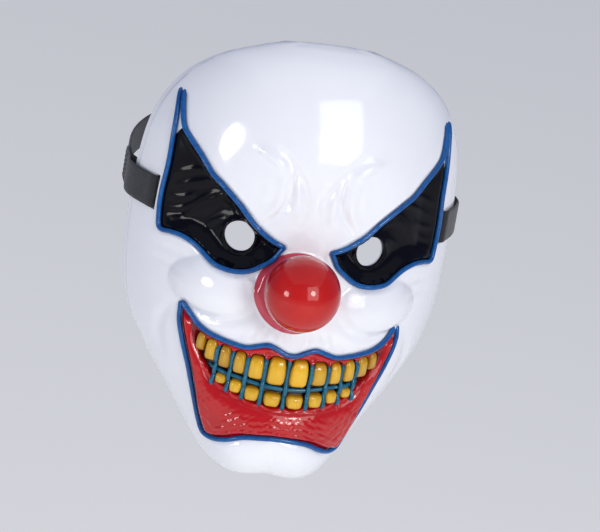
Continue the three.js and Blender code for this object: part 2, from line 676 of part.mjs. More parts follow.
function eyeWire(side, obstacles) {
  const mirror = (p) => new THREE.Vector2(side * p.x, p.y);
  const brow = BROW_LINE.map(onFace);
  const under = UNDER_EYE_LINE.map(onFace);
  const temple = TEMPLE_LINE.map(onFace);
  const hole = onFace(TEMPLE_HOLE);
  const innerHole = beside(hole, -LEG_PITCH / 2);
  const outerHole = beside(hole, LEG_PITCH / 2);
  const browLeg = [
    new THREE.Vector2(innerHole.x, hole.y - OUTLINE_WIRE),
    new THREE.Vector2(innerHole.x - GAP, (hole.y + brow[9].y) / 2),
    ...[...brow].reverse(),
  ];
  const fold = new THREE.Vector2(brow[0].x - OUTLINE_WIRE / 2, (brow[0].y + under[0].y) / 2);
  const templeLeg = [...temple, new THREE.Vector2(outerHole.x, hole.y - OUTLINE_WIRE)];
  const spots = [...browLeg, fold, ...under.slice(0, -1), ...templeLeg].map(mirror);
  const seated = seatedPath(spots, OUTLINE_WIRE, obstacles);
  const start = tail(mirror(innerHole));
  const end = tail(mirror(outerHole));
  return wireGeometry([start[1], start[0], ...seated, ...end], OUTLINE_WIRE, 6, WIRE_STEP);
}

function mouthWire(obstacles) {
  const lip = LIP_LINE.map(onFace);
  const jaw = JAW_LINE.map(onFace);
  const mirror = (p) => new THREE.Vector2(-p.x, p.y);
  const hole = onFace(MOUTH_HOLE);
  const lipHole = beside(hole, -LEG_PITCH / 2);
  const jawHole = beside(hole, LEG_PITCH / 2);
  const spots = [
    new THREE.Vector2(lipHole.x - OUTLINE_WIRE / 2, hole.y - OUTLINE_WIRE),
    ...[...lip].reverse(), ...lip.slice(1).map(mirror), onFace(MOUTH_CORNER),
    ...jaw.map(mirror), ...[...jaw].reverse().slice(1, -1),
    new THREE.Vector2(jawHole.x, hole.y - OUTLINE_WIRE),
  ];
  const seated = seatedPath(spots, OUTLINE_WIRE, obstacles);
  const start = tail(lipHole);
  const end = tail(jawHole);
  return wireGeometry([start[1], start[0], ...seated, ...end], OUTLINE_WIRE, 6, WIRE_STEP);
}

// The ball nose, flat behind where it is glued on: its own radius, or a little more for its seat
function noseBall(radius, backY) {
  const geometry = new THREE.SphereGeometry(radius, 16, 12);
  geometry.translate(NOSE_OFFSET, noseCentreY, NOSE_LEVEL);
  const cut = new THREE.BoxGeometry(NOSE_DIAMETER * 2, NOSE_DIAMETER, NOSE_DIAMETER * 2);
  cut.translate(0, backY + NOSE_DIAMETER / 2, NOSE_LEVEL);
  return toSolid(geometry).subtract(toSolid(cut));
}

// Finishes
const finish = (color, roughness) => new THREE.MeshStandardMaterial({ color, roughness, metalness: 0 });
const whitePlastic = finish('#eef0f6', 0.18);
const redPlastic = finish('#c4161c', 0.2);
const blueWire = finish('#1f63ab', 0.3);
const tealWire = finish('#1b6f9c', 0.3);
const blackElastic = finish('#15161a', 0.85);

const group = new THREE.Group();

function piece(name, geometry, material) {
  const mesh = new THREE.Mesh(geometry, material);
  mesh.name = name;
  group.add(mesh);
  return mesh;
}

// The nose sits on a flat that is cut across its moulded base
const noseRoot = placeAt(NOSE_OFFSET, NOSE_LEVEL);
const seatY = skinPoint(noseRoot.u, noseRoot.v, relief(noseRoot.u, noseRoot.v)).y + NOSE_SEAT_CUT;
const noseCentreY = seatY - GAP - NOSE_DIAMETER / 2 + NOSE_SINK;

// The face, joined and cut
const holeDiameter = 2 * OUTLINE_WIRE + 10 * GAP;
const templeHole = onFace(TEMPLE_HOLE);
let face = moulding();
for (const side of [-1, 1]) {
  for (const row of TEETH) face = face.add(tooth(row, side));
  face = face.subtract(eyeHole(side));
  face = face.subtract(strapSlot(side));
  face = face.subtract(drill(new THREE.Vector2(side * templeHole.x, templeHole.y), holeDiameter));
}
face = face.subtract(drill(onFace(MOUTH_HOLE), holeDiameter));

face = face.subtract(noseBall(NOSE_DIAMETER / 2 + GAP, seatY));

const shell = piece('shell', toGeometry(face), whitePlastic);
piece('nose', toGeometry(noseBall(NOSE_DIAMETER / 2, seatY - GAP)), redPlastic);
piece('strap', toGeometry(strap(shell)), blackElastic);

piece('eye_wire_left', eyeWire(1, [shell]), blueWire);
piece('eye_wire_right', eyeWire(-1, [shell]), blueWire);
piece('mouth_wire', mouthWire([shell]), blueWire);
const biteWire = piece(
  'bite_wire',
  wireGeometry(seatedPath(BITE_LINE.map(onFace), TOOTH_WIRE, [shell]), TOOTH_WIRE, 6, WIRE_STEP),
  tealWire,
);
TOOTH_WIRES.forEach((row, k) => {
  const x = row.x * HALF_WIDTH;
  const spots = [new THREE.Vector2(x, row.top * FACE_HEIGHT), new THREE.Vector2(x, row.bottom * FACE_HEIGHT)];
  const points = seatedPath(spots, TOOTH_WIRE, [shell, biteWire]);
  piece(`tooth_wire_${k + 1}`, wireGeometry(points, TOOTH_WIRE, 6, TOOTH_WIRE_STEP), tealWire);
});

export default group;
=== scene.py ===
"""A light-up clown mask: a gloss white moulded face with painted eyes, a red laughing mouth,
a ball nose, light wires along its outlines and an elastic strap. Lengths are in millimetres
until a mesh is made, and x runs across the face, y to its back and z up."""

import math

import bpy
import numpy as np
from mathutils import Euler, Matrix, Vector


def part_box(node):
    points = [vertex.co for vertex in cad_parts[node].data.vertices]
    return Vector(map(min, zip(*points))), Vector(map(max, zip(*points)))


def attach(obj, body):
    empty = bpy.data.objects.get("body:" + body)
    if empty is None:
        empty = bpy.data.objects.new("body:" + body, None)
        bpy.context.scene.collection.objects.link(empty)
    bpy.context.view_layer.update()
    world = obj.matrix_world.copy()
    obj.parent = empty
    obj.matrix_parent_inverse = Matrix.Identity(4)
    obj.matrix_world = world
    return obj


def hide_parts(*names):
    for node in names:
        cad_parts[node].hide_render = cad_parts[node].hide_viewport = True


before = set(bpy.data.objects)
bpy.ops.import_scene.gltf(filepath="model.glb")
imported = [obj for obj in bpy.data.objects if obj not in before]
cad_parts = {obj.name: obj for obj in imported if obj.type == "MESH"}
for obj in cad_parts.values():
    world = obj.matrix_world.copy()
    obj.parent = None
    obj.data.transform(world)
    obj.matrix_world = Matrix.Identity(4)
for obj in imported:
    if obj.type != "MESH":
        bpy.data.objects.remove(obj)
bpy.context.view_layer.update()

# The face: one sheet of impact polystyrene, formed over a mould, trimmed at the rim and lacquered.
# Its eyes are sprayed black. Everything else is fixed to it.
FACE_HEIGHT = 208.0
HALF_WIDTH = 79.0
FACE_DEPTH = 66.0
WALL = 2.2
SIDE_SWEEP = math.radians(72)
RIM_BAND = 4.5
RIM_STEP = 0.9
EYE = (32.8, 1.9)
EYE_HOLE_RADIUS = 7.0
NOSE_RADIUS = 18.0
NOSE_SPOT = (-2.0, -15.0)
COLLAR_SPOT = (-2.5, -19.2)
COLLAR_RADIUS = 18.7

# Sections from the chin up, as shares of the face's height, half width and depth: height and
# depth on the midline, half width, height and depth at the side edge
SECTIONS = np.array([
    (-0.548, -0.242, 0.253, -0.529, -0.364),
    (-0.538, -0.045, 0.392, -0.514, -0.424),
    (-0.495, 0.061, 0.506, -0.471, -0.515),
    (-0.433, 0.076, 0.639, -0.404, -0.636),
    (-0.356, 0.106, 0.797, -0.322, -0.742),
    (-0.269, 0.121, 0.924, -0.240, -0.818),
    (-0.183, 0.106, 0.981, -0.149, -0.848),
    (-0.096, 0.076, 1.000, -0.063, -0.879),
    (0.000, 0.045, 1.000, 0.029, -0.879),
    (0.096, 0.061, 0.990, 0.120, -0.864),
    (0.192, 0.076, 0.957, 0.207, -0.833),
    (0.279, 0.030, 0.880, 0.284, -0.773),
    (0.356, -0.061, 0.760, 0.346, -0.697),
    (0.413, -0.182, 0.595, 0.394, -0.606),
    (0.444, -0.303, 0.410, 0.424, -0.523),
    (0.458, -0.394, 0.215, 0.449, -0.470),
])

# Outlines of one half from the front, as shares of the half width and of the height
BROW_LINE = [
    (0.161, 0.012), (0.241, 0.025), (0.309, 0.042), (0.382, 0.067), (0.462, 0.096), (0.532, 0.118),
    (0.601, 0.138), (0.666, 0.168), (0.746, 0.200), (0.785, 0.220),
]
UNDER_EYE_LINE = [
    (0.154, 0.002), (0.196, -0.025), (0.262, -0.046), (0.319, -0.060), (0.386, -0.067),
    (0.459, -0.066), (0.525, -0.059), (0.586, -0.045), (0.639, -0.032), (0.703, -0.024),
    (0.766, -0.024), (0.822, -0.027),
]
TEMPLE_LINE = [(0.828, -0.026), (0.843, 0.004), (0.847, 0.055), (0.836, 0.126), (0.833, 0.192)]
LIP_LINE = [
    (0.000, -0.235), (0.032, -0.234), (0.085, -0.225), (0.143, -0.218), (0.203, -0.224),
    (0.272, -0.232), (0.348, -0.230), (0.418, -0.226), (0.494, -0.219), (0.557, -0.206),
    (0.601, -0.190), (0.648, -0.176),
]
JAW_LINE = [
    (0.660, -0.185), (0.652, -0.216), (0.614, -0.262), (0.567, -0.308), (0.525, -0.353),
    (0.484, -0.397), (0.443, -0.438), (0.403, -0.466), (0.348, -0.471), (0.278, -0.463),
    (0.184, -0.447), (0.063, -0.441), (0.000, -0.440),
]

# Grooves and folds of one half, in millimetres from the front: the spots they run through, how
# high they stand (below nothing for a groove) and how wide they are
FACE_FOLDS = [
    ([(5.6, 13), (4.6, 20), (4.8, 26), (7.2, 33), (12, 40), (17, 45)], -1.4, 1.7),
    ([(22, 11), (16.4, 17), (13.2, 23), (12.5, 29), (13.2, 36), (15.8, 43), (20, 48)], -1.8, 1.9),
    ([(16.5, 39), (22, 43), (29.5, 46.5)], 1.7, 2.5),
    ([(9, 16), (8.3, 23), (9.2, 30), (13, 37)], 1.1, 2.2),
    ([(21, 14), (17.6, 21), (17, 29), (18.5, 36)], 1.3, 2.6),
    ([(24, 22), (22.5, 29), (24.5, 36)], 0.5, 2.6),
    ([(0, 15), (0, 24), (0, 34)], 0.7, 1.8),
    ([(19, -23), (22.5, -30), (29, -35), (38, -37.4), (47, -36.2), (55, -31.5), (60, -24)], -0.9, 1.7),
    ([(17, -31), (21, -36.5), (29, -41), (39, -42.8), (49, -41)], 0.4, 2.4),
    ([(50, -17), (57, -14), (64, -13)], -0.7, 1.8),
    ([(53, -22.5), (60, -20), (67, -19.5)], -0.6, 1.8),
    ([(3.5, -37), (4, -44)], -0.5, 1.1), ([(8.2, -36.5), (9.2, -43)], -0.5, 1.1),
    ([(13, -37), (14.4, -43)], -0.5, 1.2), ([(18.5, -39), (20, -45)], -0.45, 1.2),
    ([(24.6, -43), (26, -46)], -0.4, 1.2), ([(6, -38), (6.6, -44)], 0.4, 1.3),
    ([(11, -37.5), (12, -43)], 0.4, 1.3), ([(16, -38), (17.4, -43)], 0.35, 1.3),
    ([(56, -38), (59.5, -46), (59, -56), (55, -66)], -0.8, 2.2),
]
EYE_FOLDS = [
    ([(39.6, 22.6), (44.6, 24.1), (50.6, 23.6), (56.6, 20.7), (61.7, 16.7)], 0.94, 1.2),
    ([(38, 18.8), (42.2, 18.7), (47.5, 16), (52.3, 11.4), (55.3, 7.4), (58.8, 3), (62.6, 0.8)], 1, 1.1),
    ([(42.4, 20.4), (47.6, 18.6), (52.6, 14), (56.5, 9.4), (60, 6.4), (63.5, 5)], 0.85, 1),
    ([(44.5, 18), (41.1, 18.2), (37.9, 17), (35.4, 14.8), (33.2, 11.2)], 0.77, 1),
    ([(50.4, 10.7), (47.6, 14), (44, 15.4), (40.2, 14.4), (37, 11.4)], 0.77, 1),
    ([(49.6, -0.5), (46.8, 4.6), (42.6, 7.4), (38.5, 10)], 0.68, 1.1),
    ([(55, 15.5), (59, 12.5), (63.4, 11)], 0.77, 1.1),
    ([(52, 28), (57, 27), (62.5, 23)], 0.77, 1.2),
    ([(18.5, -2.2), (22, -5), (27, -8), (33.5, -9)], 0.59, 1.2),
]
# How far each form of the face stands out or sinks, and how wide it is
SOCKET_DEPTH = 6.5
EYEBALL_HEIGHT = 4.5
EYEBALL_REACH = 16.0
EYE_FOLD_SHARE = 0.75
EYE_RIM_BEAD = 0.55
BROW_HEIGHT = 1.8
BROW_SPREAD = 10.0
CHEEK_HEIGHT = 5.0
COLLAR_HEIGHT = 3.2
CHIN_LOBE = 3.0
CHIN_DIMPLE = 1.05
MOUTH_SINK = 3.2
RIM_ROUND = 0.8
RIM_ROUND_DROP = 0.6
LEAST_WALL = 1.6
STRAP_LEVEL = 10.0
STRAP_SLOT = (0.7764, 0.8006)
STRAP_SLOT_HALF = 8.6


def section(column, v):
    """Column of SECTIONS at v, from 0 at the chin to 1 at the crown, by the Catmull-Rom rule:
    the cubic through two rows whose slope at each is half the step between its neighbours."""
    rows = SECTIONS[:, column]
    rows = np.concatenate([[2 * rows[0] - rows[1]], rows, [2 * rows[-1] - rows[-2]]])
    along = np.clip(v, 0, 1) * (len(SECTIONS) - 1)
    i = np.minimum(along.astype(int), len(SECTIONS) - 2)
    q = along - i
    a, b, c, d = rows[i], rows[i + 1], rows[i + 2], rows[i + 3]
    return 0.5 * (2 * b + (c - a) * q + (2 * a - 5 * b + 4 * c - d) * q**2 + (3 * b - a - 3 * c + d) * q**3)


def bare_point(u, v):
    """The face without relief. Each section is an arc of SIDE_SWEEP to either side: x grows with
    the sine of the sweep, depth with one less its cosine, and height with u squared."""
    sweep = SIDE_SWEEP * u
    back = (1 - np.cos(sweep)) / (1 - math.cos(SIDE_SWEEP))
    front = section(1, v)
    middle = section(0, v)
    x = HALF_WIDTH * section(2, v) * np.sin(sweep) / math.sin(SIDE_SWEEP)
    y = -FACE_DEPTH * (front + (section(4, v) - front) * back)
    z = FACE_HEIGHT * (middle + (section(3, v) - middle) * u**2)
    return np.stack([x, y, z], -1)


def bare_normal(u, v):
    """The cross product of the two ways along the bare face, at length one."""
    step = 1e-3
    low = np.maximum(v - step, 0)
    high = np.minimum(v + step, 1)
    across = bare_point(u + step, v) - bare_point(u - step, v)
    normal = np.cross(across, bare_point(u, high) - bare_point(u, low))
    return normal / np.linalg.norm(normal, axis=-1, keepdims=True)


def place_at(x, z):
    """The u and v that are seen at x and z from the front, by Newton's rule on both at once."""
    step = 1e-4
    u = np.clip(0.7 * x / HALF_WIDTH, -1, 1)
    v = np.clip(0.55 + z / FACE_HEIGHT, 0, 1)
    for _ in range(20):
        p = bare_point(u, v)
        du = (bare_point(u + step, v) - p) / step
        dv = (bare_point(u, v + step) - p) / step
        det = du[..., 0] * dv[..., 2] - dv[..., 0] * du[..., 2]
        det = np.where(np.abs(det) < 1e-6, 1e-6, det)
        miss_x = x - p[..., 0]
        miss_z = z - p[..., 2]
        move_u = (miss_x * dv[..., 2] - miss_z * dv[..., 0]) / det
        move_v = (miss_z * du[..., 0] - miss_x * du[..., 2]) / det
        u = np.clip(u + np.clip(move_u, -0.2, 0.2), -1, 1)
        v = np.clip(v + np.clip(move_v, -0.1, 0.1), 0, 1 - step)
    return u, v


def skin_point(u, v, height):
    """Bare point plus height times the bare normal."""
    return bare_point(u, v) + bare_normal(u, v) * np.asarray(height)[..., None]


def soft_step(low, high, t):
    """0 below low, 1 above high, and 3 s squared less 2 s cubed between them."""
    s = np.clip((t - low) / (high - low), 0, 1)
    return s * s * (3 - 2 * s)


def smooth_line(spots, steps=6):
    """A Catmull-Rom curve through the spots, each stretch cut into steps."""
    p = np.array(spots, float)
    p = np.concatenate([p[:1], p, p[-1:]])
    q = (np.arange(steps) / steps)[None, :, None]
    a, b, c, d = (p[k:len(p) - 3 + k, None] for k in range(4))
    curve = 0.5 * (2 * b + (c - a) * q + (2 * a - 5 * b + 4 * c - d) * q**2 + (3 * b - a - 3 * c + d) * q**3)
    return np.concatenate([curve.reshape(-1, p.shape[1]), p[-1:]])


def in_mm(shares):
    """A table of shares in millimetres."""
    return [(a * HALF_WIDTH, b * FACE_HEIGHT) for a, b in shares]


def face_line(shares):
    """A table of shares as a smooth line in millimetres."""
    return smooth_line(in_mm(shares))


def near_line(line, x, z):
    """How far each spot is from the line, and how far along it, from 0 to 1, the nearest place is."""
    best = np.full(np.shape(x), np.inf)
    share = np.zeros(np.shape(x))
    runs = np.linalg.norm(np.diff(line, axis=0), axis=1)
    starts = np.concatenate([[0], np.cumsum(runs)])
    for (ax, az), (bx, bz), start, run in zip(line[:-1], line[1:], starts, runs):
        if run < 1e-9:
            continue
        along = np.clip(((x - ax) * (bx - ax) + (z - az) * (bz - az)) / run**2, 0, 1)
        gap = np.hypot(x - ax - along * (bx - ax), z - az - along * (bz - az))
        closer = gap < best
        best = np.where(closer, gap, best)
        share = np.where(closer, (start + along * run) / starts[-1], share)
    return best, share


def holds(outline, x, z):
    """Whether the closed outline holds each spot: a ray to the side crosses it an odd number of times."""
    inside = np.zeros(np.shape(x), bool)
    for (ax, az), (bx, bz) in zip(outline, np.roll(outline, -1, axis=0)):
        if az == bz:
            continue
        inside ^= ((az > z) != (bz > z)) & (x < (bx - ax) * (z - az) / (bz - az) + ax)
    return inside


def fold(spots, height, width, x, z):
    """A groove or ridge: height times the bell curve of the distance over the width, fading
    towards both ends."""
    gap, share = near_line(smooth_line(spots), x, z)
    fade = np.sqrt(np.clip(np.sin(np.pi * np.clip(share, 0.02, 0.98)), 0, 1))
    return height * fade * np.exp(-((gap / width) ** 2))


brow_line = face_line(BROW_LINE)
under_eye_line = face_line(UNDER_EYE_LINE)
temple_line = face_line(TEMPLE_LINE)
eye_patch = np.concatenate([brow_line, temple_line[::-1], under_eye_line[::-1]])
lip_line = face_line(LIP_LINE)
jaw_line = face_line(JAW_LINE)
mouth_half = np.concatenate([lip_line, jaw_line])


def eye_relief(s, z, patch):
    """The socket sinks inside its outlines, the eyeball swells out of it as a cosine squared, and
    the folds stand on its floor."""
    from_brow = near_line(brow_line, s, z)[0]
    from_under = near_line(under_eye_line, s, z)[0]
    from_temple = near_line(temple_line, s, z)[0]
    sunk = soft_step(0.6, 5, from_brow) * soft_step(0.6, 9, from_under) * soft_step(0.6, 9, from_temple)
    depth = SOCKET_DEPTH * (1 - 0.5 * soft_step(0.35, 0.8, s / HALF_WIDTH))
    reach = np.hypot(s - EYE[0], z - EYE[1])
    swell = EYEBALL_HEIGHT * np.cos(np.minimum(reach / EYEBALL_REACH, 1) * math.pi / 2) ** 2
    folds = EYE_FOLD_SHARE * sum(fold(*row, s, z) for row in EYE_FOLDS)
    clear = soft_step(EYE_HOLE_RADIUS + 1.5, EYE_HOLE_RADIUS + 5, reach)
    edge = soft_step(0.8, 3.5, np.minimum(np.minimum(from_brow, from_under), from_temple))
    bead = EYE_RIM_BEAD * np.exp(-(((reach - EYE_HOLE_RADIUS - 0.9) / 0.6) ** 2))
    return patch * (-depth * sunk + swell * soft_step(0, 3, from_brow) + folds * clear * edge + bead)


def brow_relief(s, z, patch):
    """A ridge over the brow line: a bell curve of the distance above it, strongest half way in."""
    share = s / HALF_WIDTH
    along = soft_step(0.08, 0.2, share) * (1 - soft_step(0.45, 0.75, share))
    above = near_line(brow_line, s, z)[0]
    return ~patch * BROW_HEIGHT * along * soft_step(-9, 0, z) * np.exp(-((above / BROW_SPREAD) ** 2))


def cheek_relief(s, z, patch):
    """An apple cheek: a flattened ball, sharper below than above."""
    r = np.hypot((s / HALF_WIDTH - 0.49) / 0.26, (z / FACE_HEIGHT + 0.118) / 0.068)
    return ~patch * CHEEK_HEIGHT * np.clip(1 - r**2, 0, 1) ** 0.8


def collar_relief(x, z):
    """The moulded base of the nose: a round step, set a little lower than the ball."""
    r = np.hypot(x - COLLAR_SPOT[0], z - COLLAR_SPOT[1]) - COLLAR_RADIUS
    return COLLAR_HEIGHT * (1 - soft_step(-2.4, 1.2, r))


def chin_relief(s, z):
    """A lobe on each side of the chin and a dimple between them, as bell curves."""
    lobe = np.hypot(s / HALF_WIDTH - 0.2, 2.6 * (z / FACE_HEIGHT + 0.515)) / 0.17
    dimple = np.hypot(s / HALF_WIDTH, 2.6 * (z / FACE_HEIGHT + 0.535)) / 0.13
    return CHIN_LOBE * np.exp(-(lobe**2)) - CHIN_DIMPLE * np.exp(-(dimple**2))


def plain_relief(x, z):
    """Height of the face over its bare shape, without rim, mouth and wire beds."""
    s = np.abs(x)
    patch = holds(eye_patch, s, z)
    folds = sum(fold(*row, s, z) for row in FACE_FOLDS)
    smooth_parts = brow_relief(s, z, patch) + cheek_relief(s, z, patch)
    smooth_parts = smooth_parts + collar_relief(x, z) + chin_relief(s, z)
    away = soft_step(0.5, 3, near_line(eye_patch, s, z)[0])
    return eye_relief(s, z, patch) + smooth_parts + ~patch * folds * away


# Beds for the wires: each follows an outline, and its floor runs at one smooth height
WIRE_RADIUS = 1.2
BED_DEPTH = 0.9
BED_HALF = 1.7
BED_SHOULDER = 1.5
BED_STEP = 0.9
LEG_PITCH = 3.2
TEMPLE_HOLE = (64.2, 59.9)
MOUTH_HOLE = (51.2, -35.6)
EYE_INNER_FOLD = (11.2, 1.5)
FAR_MOUTH_CORNER = (-51.9, -35.6)


def length_along(line):
    """How far along the line each of its points is."""
    return np.concatenate([[0], np.cumsum(np.linalg.norm(np.diff(line, axis=0), axis=1))])


def even_spots(line, count):
    """The line cut into count spots at equal lengths."""
    reach = length_along(line)
    wanted = np.linspace(0, reach[-1], count)
    return np.stack([np.interp(wanted, reach, line[:, k]) for k in range(line.shape[1])], -1)


def even_line(spots, spacing):
    """The smooth line through the spots, cut into equal lengths of about the spacing."""
    curve = smooth_line(spots)
    return even_spots(curve, int(length_along(curve)[-1] / spacing) + 1)


def running_mean(values, half):
    """Each value as the mean of its neighbours up to half places away, ends held."""
    padded = np.pad(values, half, mode="edge")
    return np.convolve(padded, np.ones(2 * half + 1) / (2 * half + 1), "valid")


def beside(spot, distance):
    """The spot that lies a distance to the side of another, measured along the face."""
    u, v = place_at(np.array([spot[0]]), np.array([spot[1]]))
    across = bare_point(u + 1e-3, v)[0] - bare_point(u - 1e-3, v)[0]
    across = across / np.linalg.norm(across)
    return spot[0] + across[0] * distance, spot[1] + across[2] * distance


inner_hole = beside(TEMPLE_HOLE, -LEG_PITCH / 2)
outer_hole = beside(TEMPLE_HOLE, LEG_PITCH / 2)
brow_top = in_mm(BROW_LINE)[-1]
eye_route = [(inner_hole[0], TEMPLE_HOLE[1] - 1.0), (inner_hole[0] - 0.3, (TEMPLE_HOLE[1] + brow_top[1]) / 2)]
eye_route += in_mm(BROW_LINE)[::-1] + [EYE_INNER_FOLD] + in_mm(UNDER_EYE_LINE)[:-1]
eye_route += in_mm(TEMPLE_LINE) + [(outer_hole[0], TEMPLE_HOLE[1] - 1.0)]

lip_hole = beside(MOUTH_HOLE, -LEG_PITCH / 2)
jaw_hole = beside(MOUTH_HOLE, LEG_PITCH / 2)
mouth_route = [(lip_hole[0] - 0.8, MOUTH_HOLE[1] - 1.2)] + in_mm(LIP_LINE)[:-1][::-1]
mouth_route += [(-x, z) for x, z in in_mm(LIP_LINE)[1:-1]] + [FAR_MOUTH_CORNER]
mouth_route += [(-x, z) for x, z in in_mm(JAW_LINE)] + in_mm(JAW_LINE)[::-1][1:-1]
mouth_route += [(jaw_hole[0], MOUTH_HOLE[1] - 1.6)]

beds = []
for route, mirrors in ((eye_route, (1, -1)), (mouth_route, (1,))):
    for mirror in mirrors:
        spots = even_line([(mirror * x, z) for x, z in route], BED_STEP)
        level = running_mean(plain_relief(spots[:, 0], spots[:, 1]), 5)
        beds.append({"spots": spots, "level": level})


def bedded(height, x, z):
    """The relief with the beds pressed in: within BED_HALF of a wire the floor is a parabola
    BED_DEPTH below the wire's level, and beyond it the face comes back over BED_SHOULDER."""
    for bed in beds:
        gap, share = near_line(bed["spots"], x, z)
        level = np.interp(share, np.linspace(0, 1, len(bed["level"])), bed["level"])
        floor = level - BED_DEPTH * np.clip(1 - (gap / BED_HALF) ** 2, 0, 1)
        pull = 1 - soft_step(BED_HALF, BED_HALF + BED_SHOULDER, gap)
        height = height + (floor - height) * pull
    return height


def spaced(*stretches):
    """Lines between 0 and the last place: each stretch is its end and how many lines it takes."""
    lines = [np.zeros(1)]
    for end, count in stretches:
        start = lines[-1][-1]
        lines.append(start + (end - start) * np.arange(1, count + 1) / count)
    return np.concatenate(lines)


# Lines of the grid: up to the slot, across it, and on to the rim, where they are closer. Rows by
# height: a few rows at either end, and stretches from one height to another at a pitch between
HALF_STRETCHES = ((STRAP_SLOT[0], 84), (STRAP_SLOT[1], 3), (0.984, 15), (1.0, 4))
CHIN_ROWS = (-113.98, -113.38, -112.78, -112.18)
ROW_STRETCHES = ((-111.2, -92, 0.95), (-92, -48, 1.5), (-48, 62, 0.92), (62, 93.6, 1.1))
CROWN_ROWS = (94.2, 94.8, 95.26)
half_lines = spaced(*HALF_STRETCHES)
u_lines = np.concatenate([-half_lines[:0:-1], half_lines])
heights = np.concatenate([CHIN_ROWS, *[np.arange(*stretch) for stretch in ROW_STRETCHES], CROWN_ROWS])
v_lines = place_at(np.zeros(len(heights)), heights)[1]
v_lines[0], v_lines[-1] = 0, 1

# The strap's slots end on lines of the grid
slot_u = np.full(401, sum(STRAP_SLOT) / 2)
slot_v = np.linspace(0.4, 0.8, 401)
slot_z = bare_point(slot_u, slot_v)[:, 2]
slot_ends = np.interp([STRAP_LEVEL - STRAP_SLOT_HALF, STRAP_LEVEL + STRAP_SLOT_HALF], slot_z, slot_v)
slot_rows = [int(np.abs(v_lines - end).argmin()) for end in slot_ends]
v_lines[slot_rows] = slot_ends
u_grid, v_grid = np.meshgrid(u_lines, v_lines)
face_keep = np.ones((len(v_lines) - 1, len(u_lines) - 1), bool)
middle_u = np.abs(u_lines[:-1] + u_lines[1:]) / 2
slot_columns = (middle_u > STRAP_SLOT[0]) & (middle_u < STRAP_SLOT[1])
face_keep[slot_rows[0]:slot_rows[1], slot_columns] = False

# Eye holes: a square block of the grid is opened and its rings are drawn out to circles, which
# turn back into the plain grid further out
HOLE_RING = 7
LAST_RING = 15
face_grid = bare_point(u_grid, v_grid)
x_grid, z_grid = face_grid[..., 0].copy(), face_grid[..., 2].copy()
for side in (-1, 1):
    away = np.hypot(x_grid - side * EYE[0], z_grid - EYE[1])
    row, column = np.unravel_index(away.argmin(), away.shape)
    up, right = np.meshgrid(np.arange(len(v_lines)) - row, np.arange(len(u_lines)) - column, indexing="ij")
    ring = np.maximum(np.abs(up), np.abs(right))
    safe = np.maximum(ring, 1)
    quarter = math.pi / 4
    turn = np.where(right == ring, quarter * up / safe, np.where(
        up == ring, 2 * quarter - quarter * right / safe, np.where(
            right == -ring, 4 * quarter - quarter * up / safe, 6 * quarter + quarter * right / safe)))
    radius = EYE_HOLE_RADIUS + 0.5 * (ring - HOLE_RING)
    back_to_grid = soft_step(0, 1, (ring - HOLE_RING) / (LAST_RING - HOLE_RING))
    inside = ring <= LAST_RING
    round_x = side * EYE[0] + radius * np.cos(turn)
    round_z = EYE[1] + radius * np.sin(turn)
    x_grid[inside] += ((round_x - x_grid) * (1 - back_to_grid))[inside]
    z_grid[inside] += ((round_z - z_grid) * (1 - back_to_grid))[inside]
    u_grid[inside], v_grid[inside] = place_at(x_grid[inside], z_grid[inside])
    face_keep[row - HOLE_RING:row + HOLE_RING, column - HOLE_RING:column + HOLE_RING] = False


def rim_distance(u, v):
    """Distance to the nearest edge of the face: along the arc to a side, or straight to an end."""
    side_gap = (1 - np.abs(u)) * SIDE_SWEEP * HALF_WIDTH * section(2, v)
    p = bare_point(u, v)
    to_chin = np.linalg.norm(p - bare_point(u, np.zeros_like(v)), axis=-1)
    to_crown = np.linalg.norm(p - bare_point(u, np.ones_like(v)), axis=-1)
    return np.minimum(side_gap, np.minimum(to_chin, to_crown))


rim_gap = rim_distance(u_grid, v_grid)
relief = bedded(plain_relief(x_grid, z_grid), x_grid, z_grid)
mouth_gap = near_line(mouth_half, np.abs(x_grid), z_grid)[0]
in_mouth = holds(mouth_half, np.abs(x_grid), z_grid)
relief = np.where(in_mouth, relief - (relief + MOUTH_SINK) * soft_step(0.6, 2.2, mouth_gap), relief)
relief = relief - RIM_STEP * (1 - soft_step(RIM_BAND - 0.5, RIM_BAND + 0.5, rim_gap))
relief = relief - RIM_ROUND_DROP * np.clip(1 - rim_gap / RIM_ROUND, 0, 1) ** 2
# Inside, the relief is softer: five rounds of the mean of the four neighbours
inner = relief - WALL
for _ in range(5):
    ringed = np.pad(inner, 1, mode="edge")
    inner = (ringed[:-2, 1:-1] + ringed[2:, 1:-1] + ringed[1:-1, :-2] + ringed[1:-1, 2:]) / 4
inner = np.minimum(inner, relief - LEAST_WALL)


def grid_faces(keep, offset):
    """Faces of a sheet with two sides: each kept cell in front, the same cell turned over behind,
    whose points follow offset later, and a wall wherever a kept cell has no kept neighbour."""
    rows, columns = keep.shape
    at = np.arange((rows + 1) * (columns + 1)).reshape(rows + 1, columns + 1)
    a, b, c, d = at[:-1, :-1], at[:-1, 1:], at[1:, 1:], at[1:, :-1]
    framed = np.pad(keep, 1)
    open_sides = [
        (a, b, keep & ~framed[:-2, 1:-1]), (b, c, keep & ~framed[1:-1, 2:]),
        (c, d, keep & ~framed[2:, 1:-1]), (d, a, keep & ~framed[1:-1, :-2]),
    ]
    faces = [np.stack([a, b, c, d], -1)[keep], np.stack([d, c, b, a], -1)[keep] + offset]
    for start, end, open_side in open_sides:
        p, q = start[open_side], end[open_side]
        faces.append(np.stack([q, p, p + offset, q + offset], -1))
    return np.concatenate(faces)


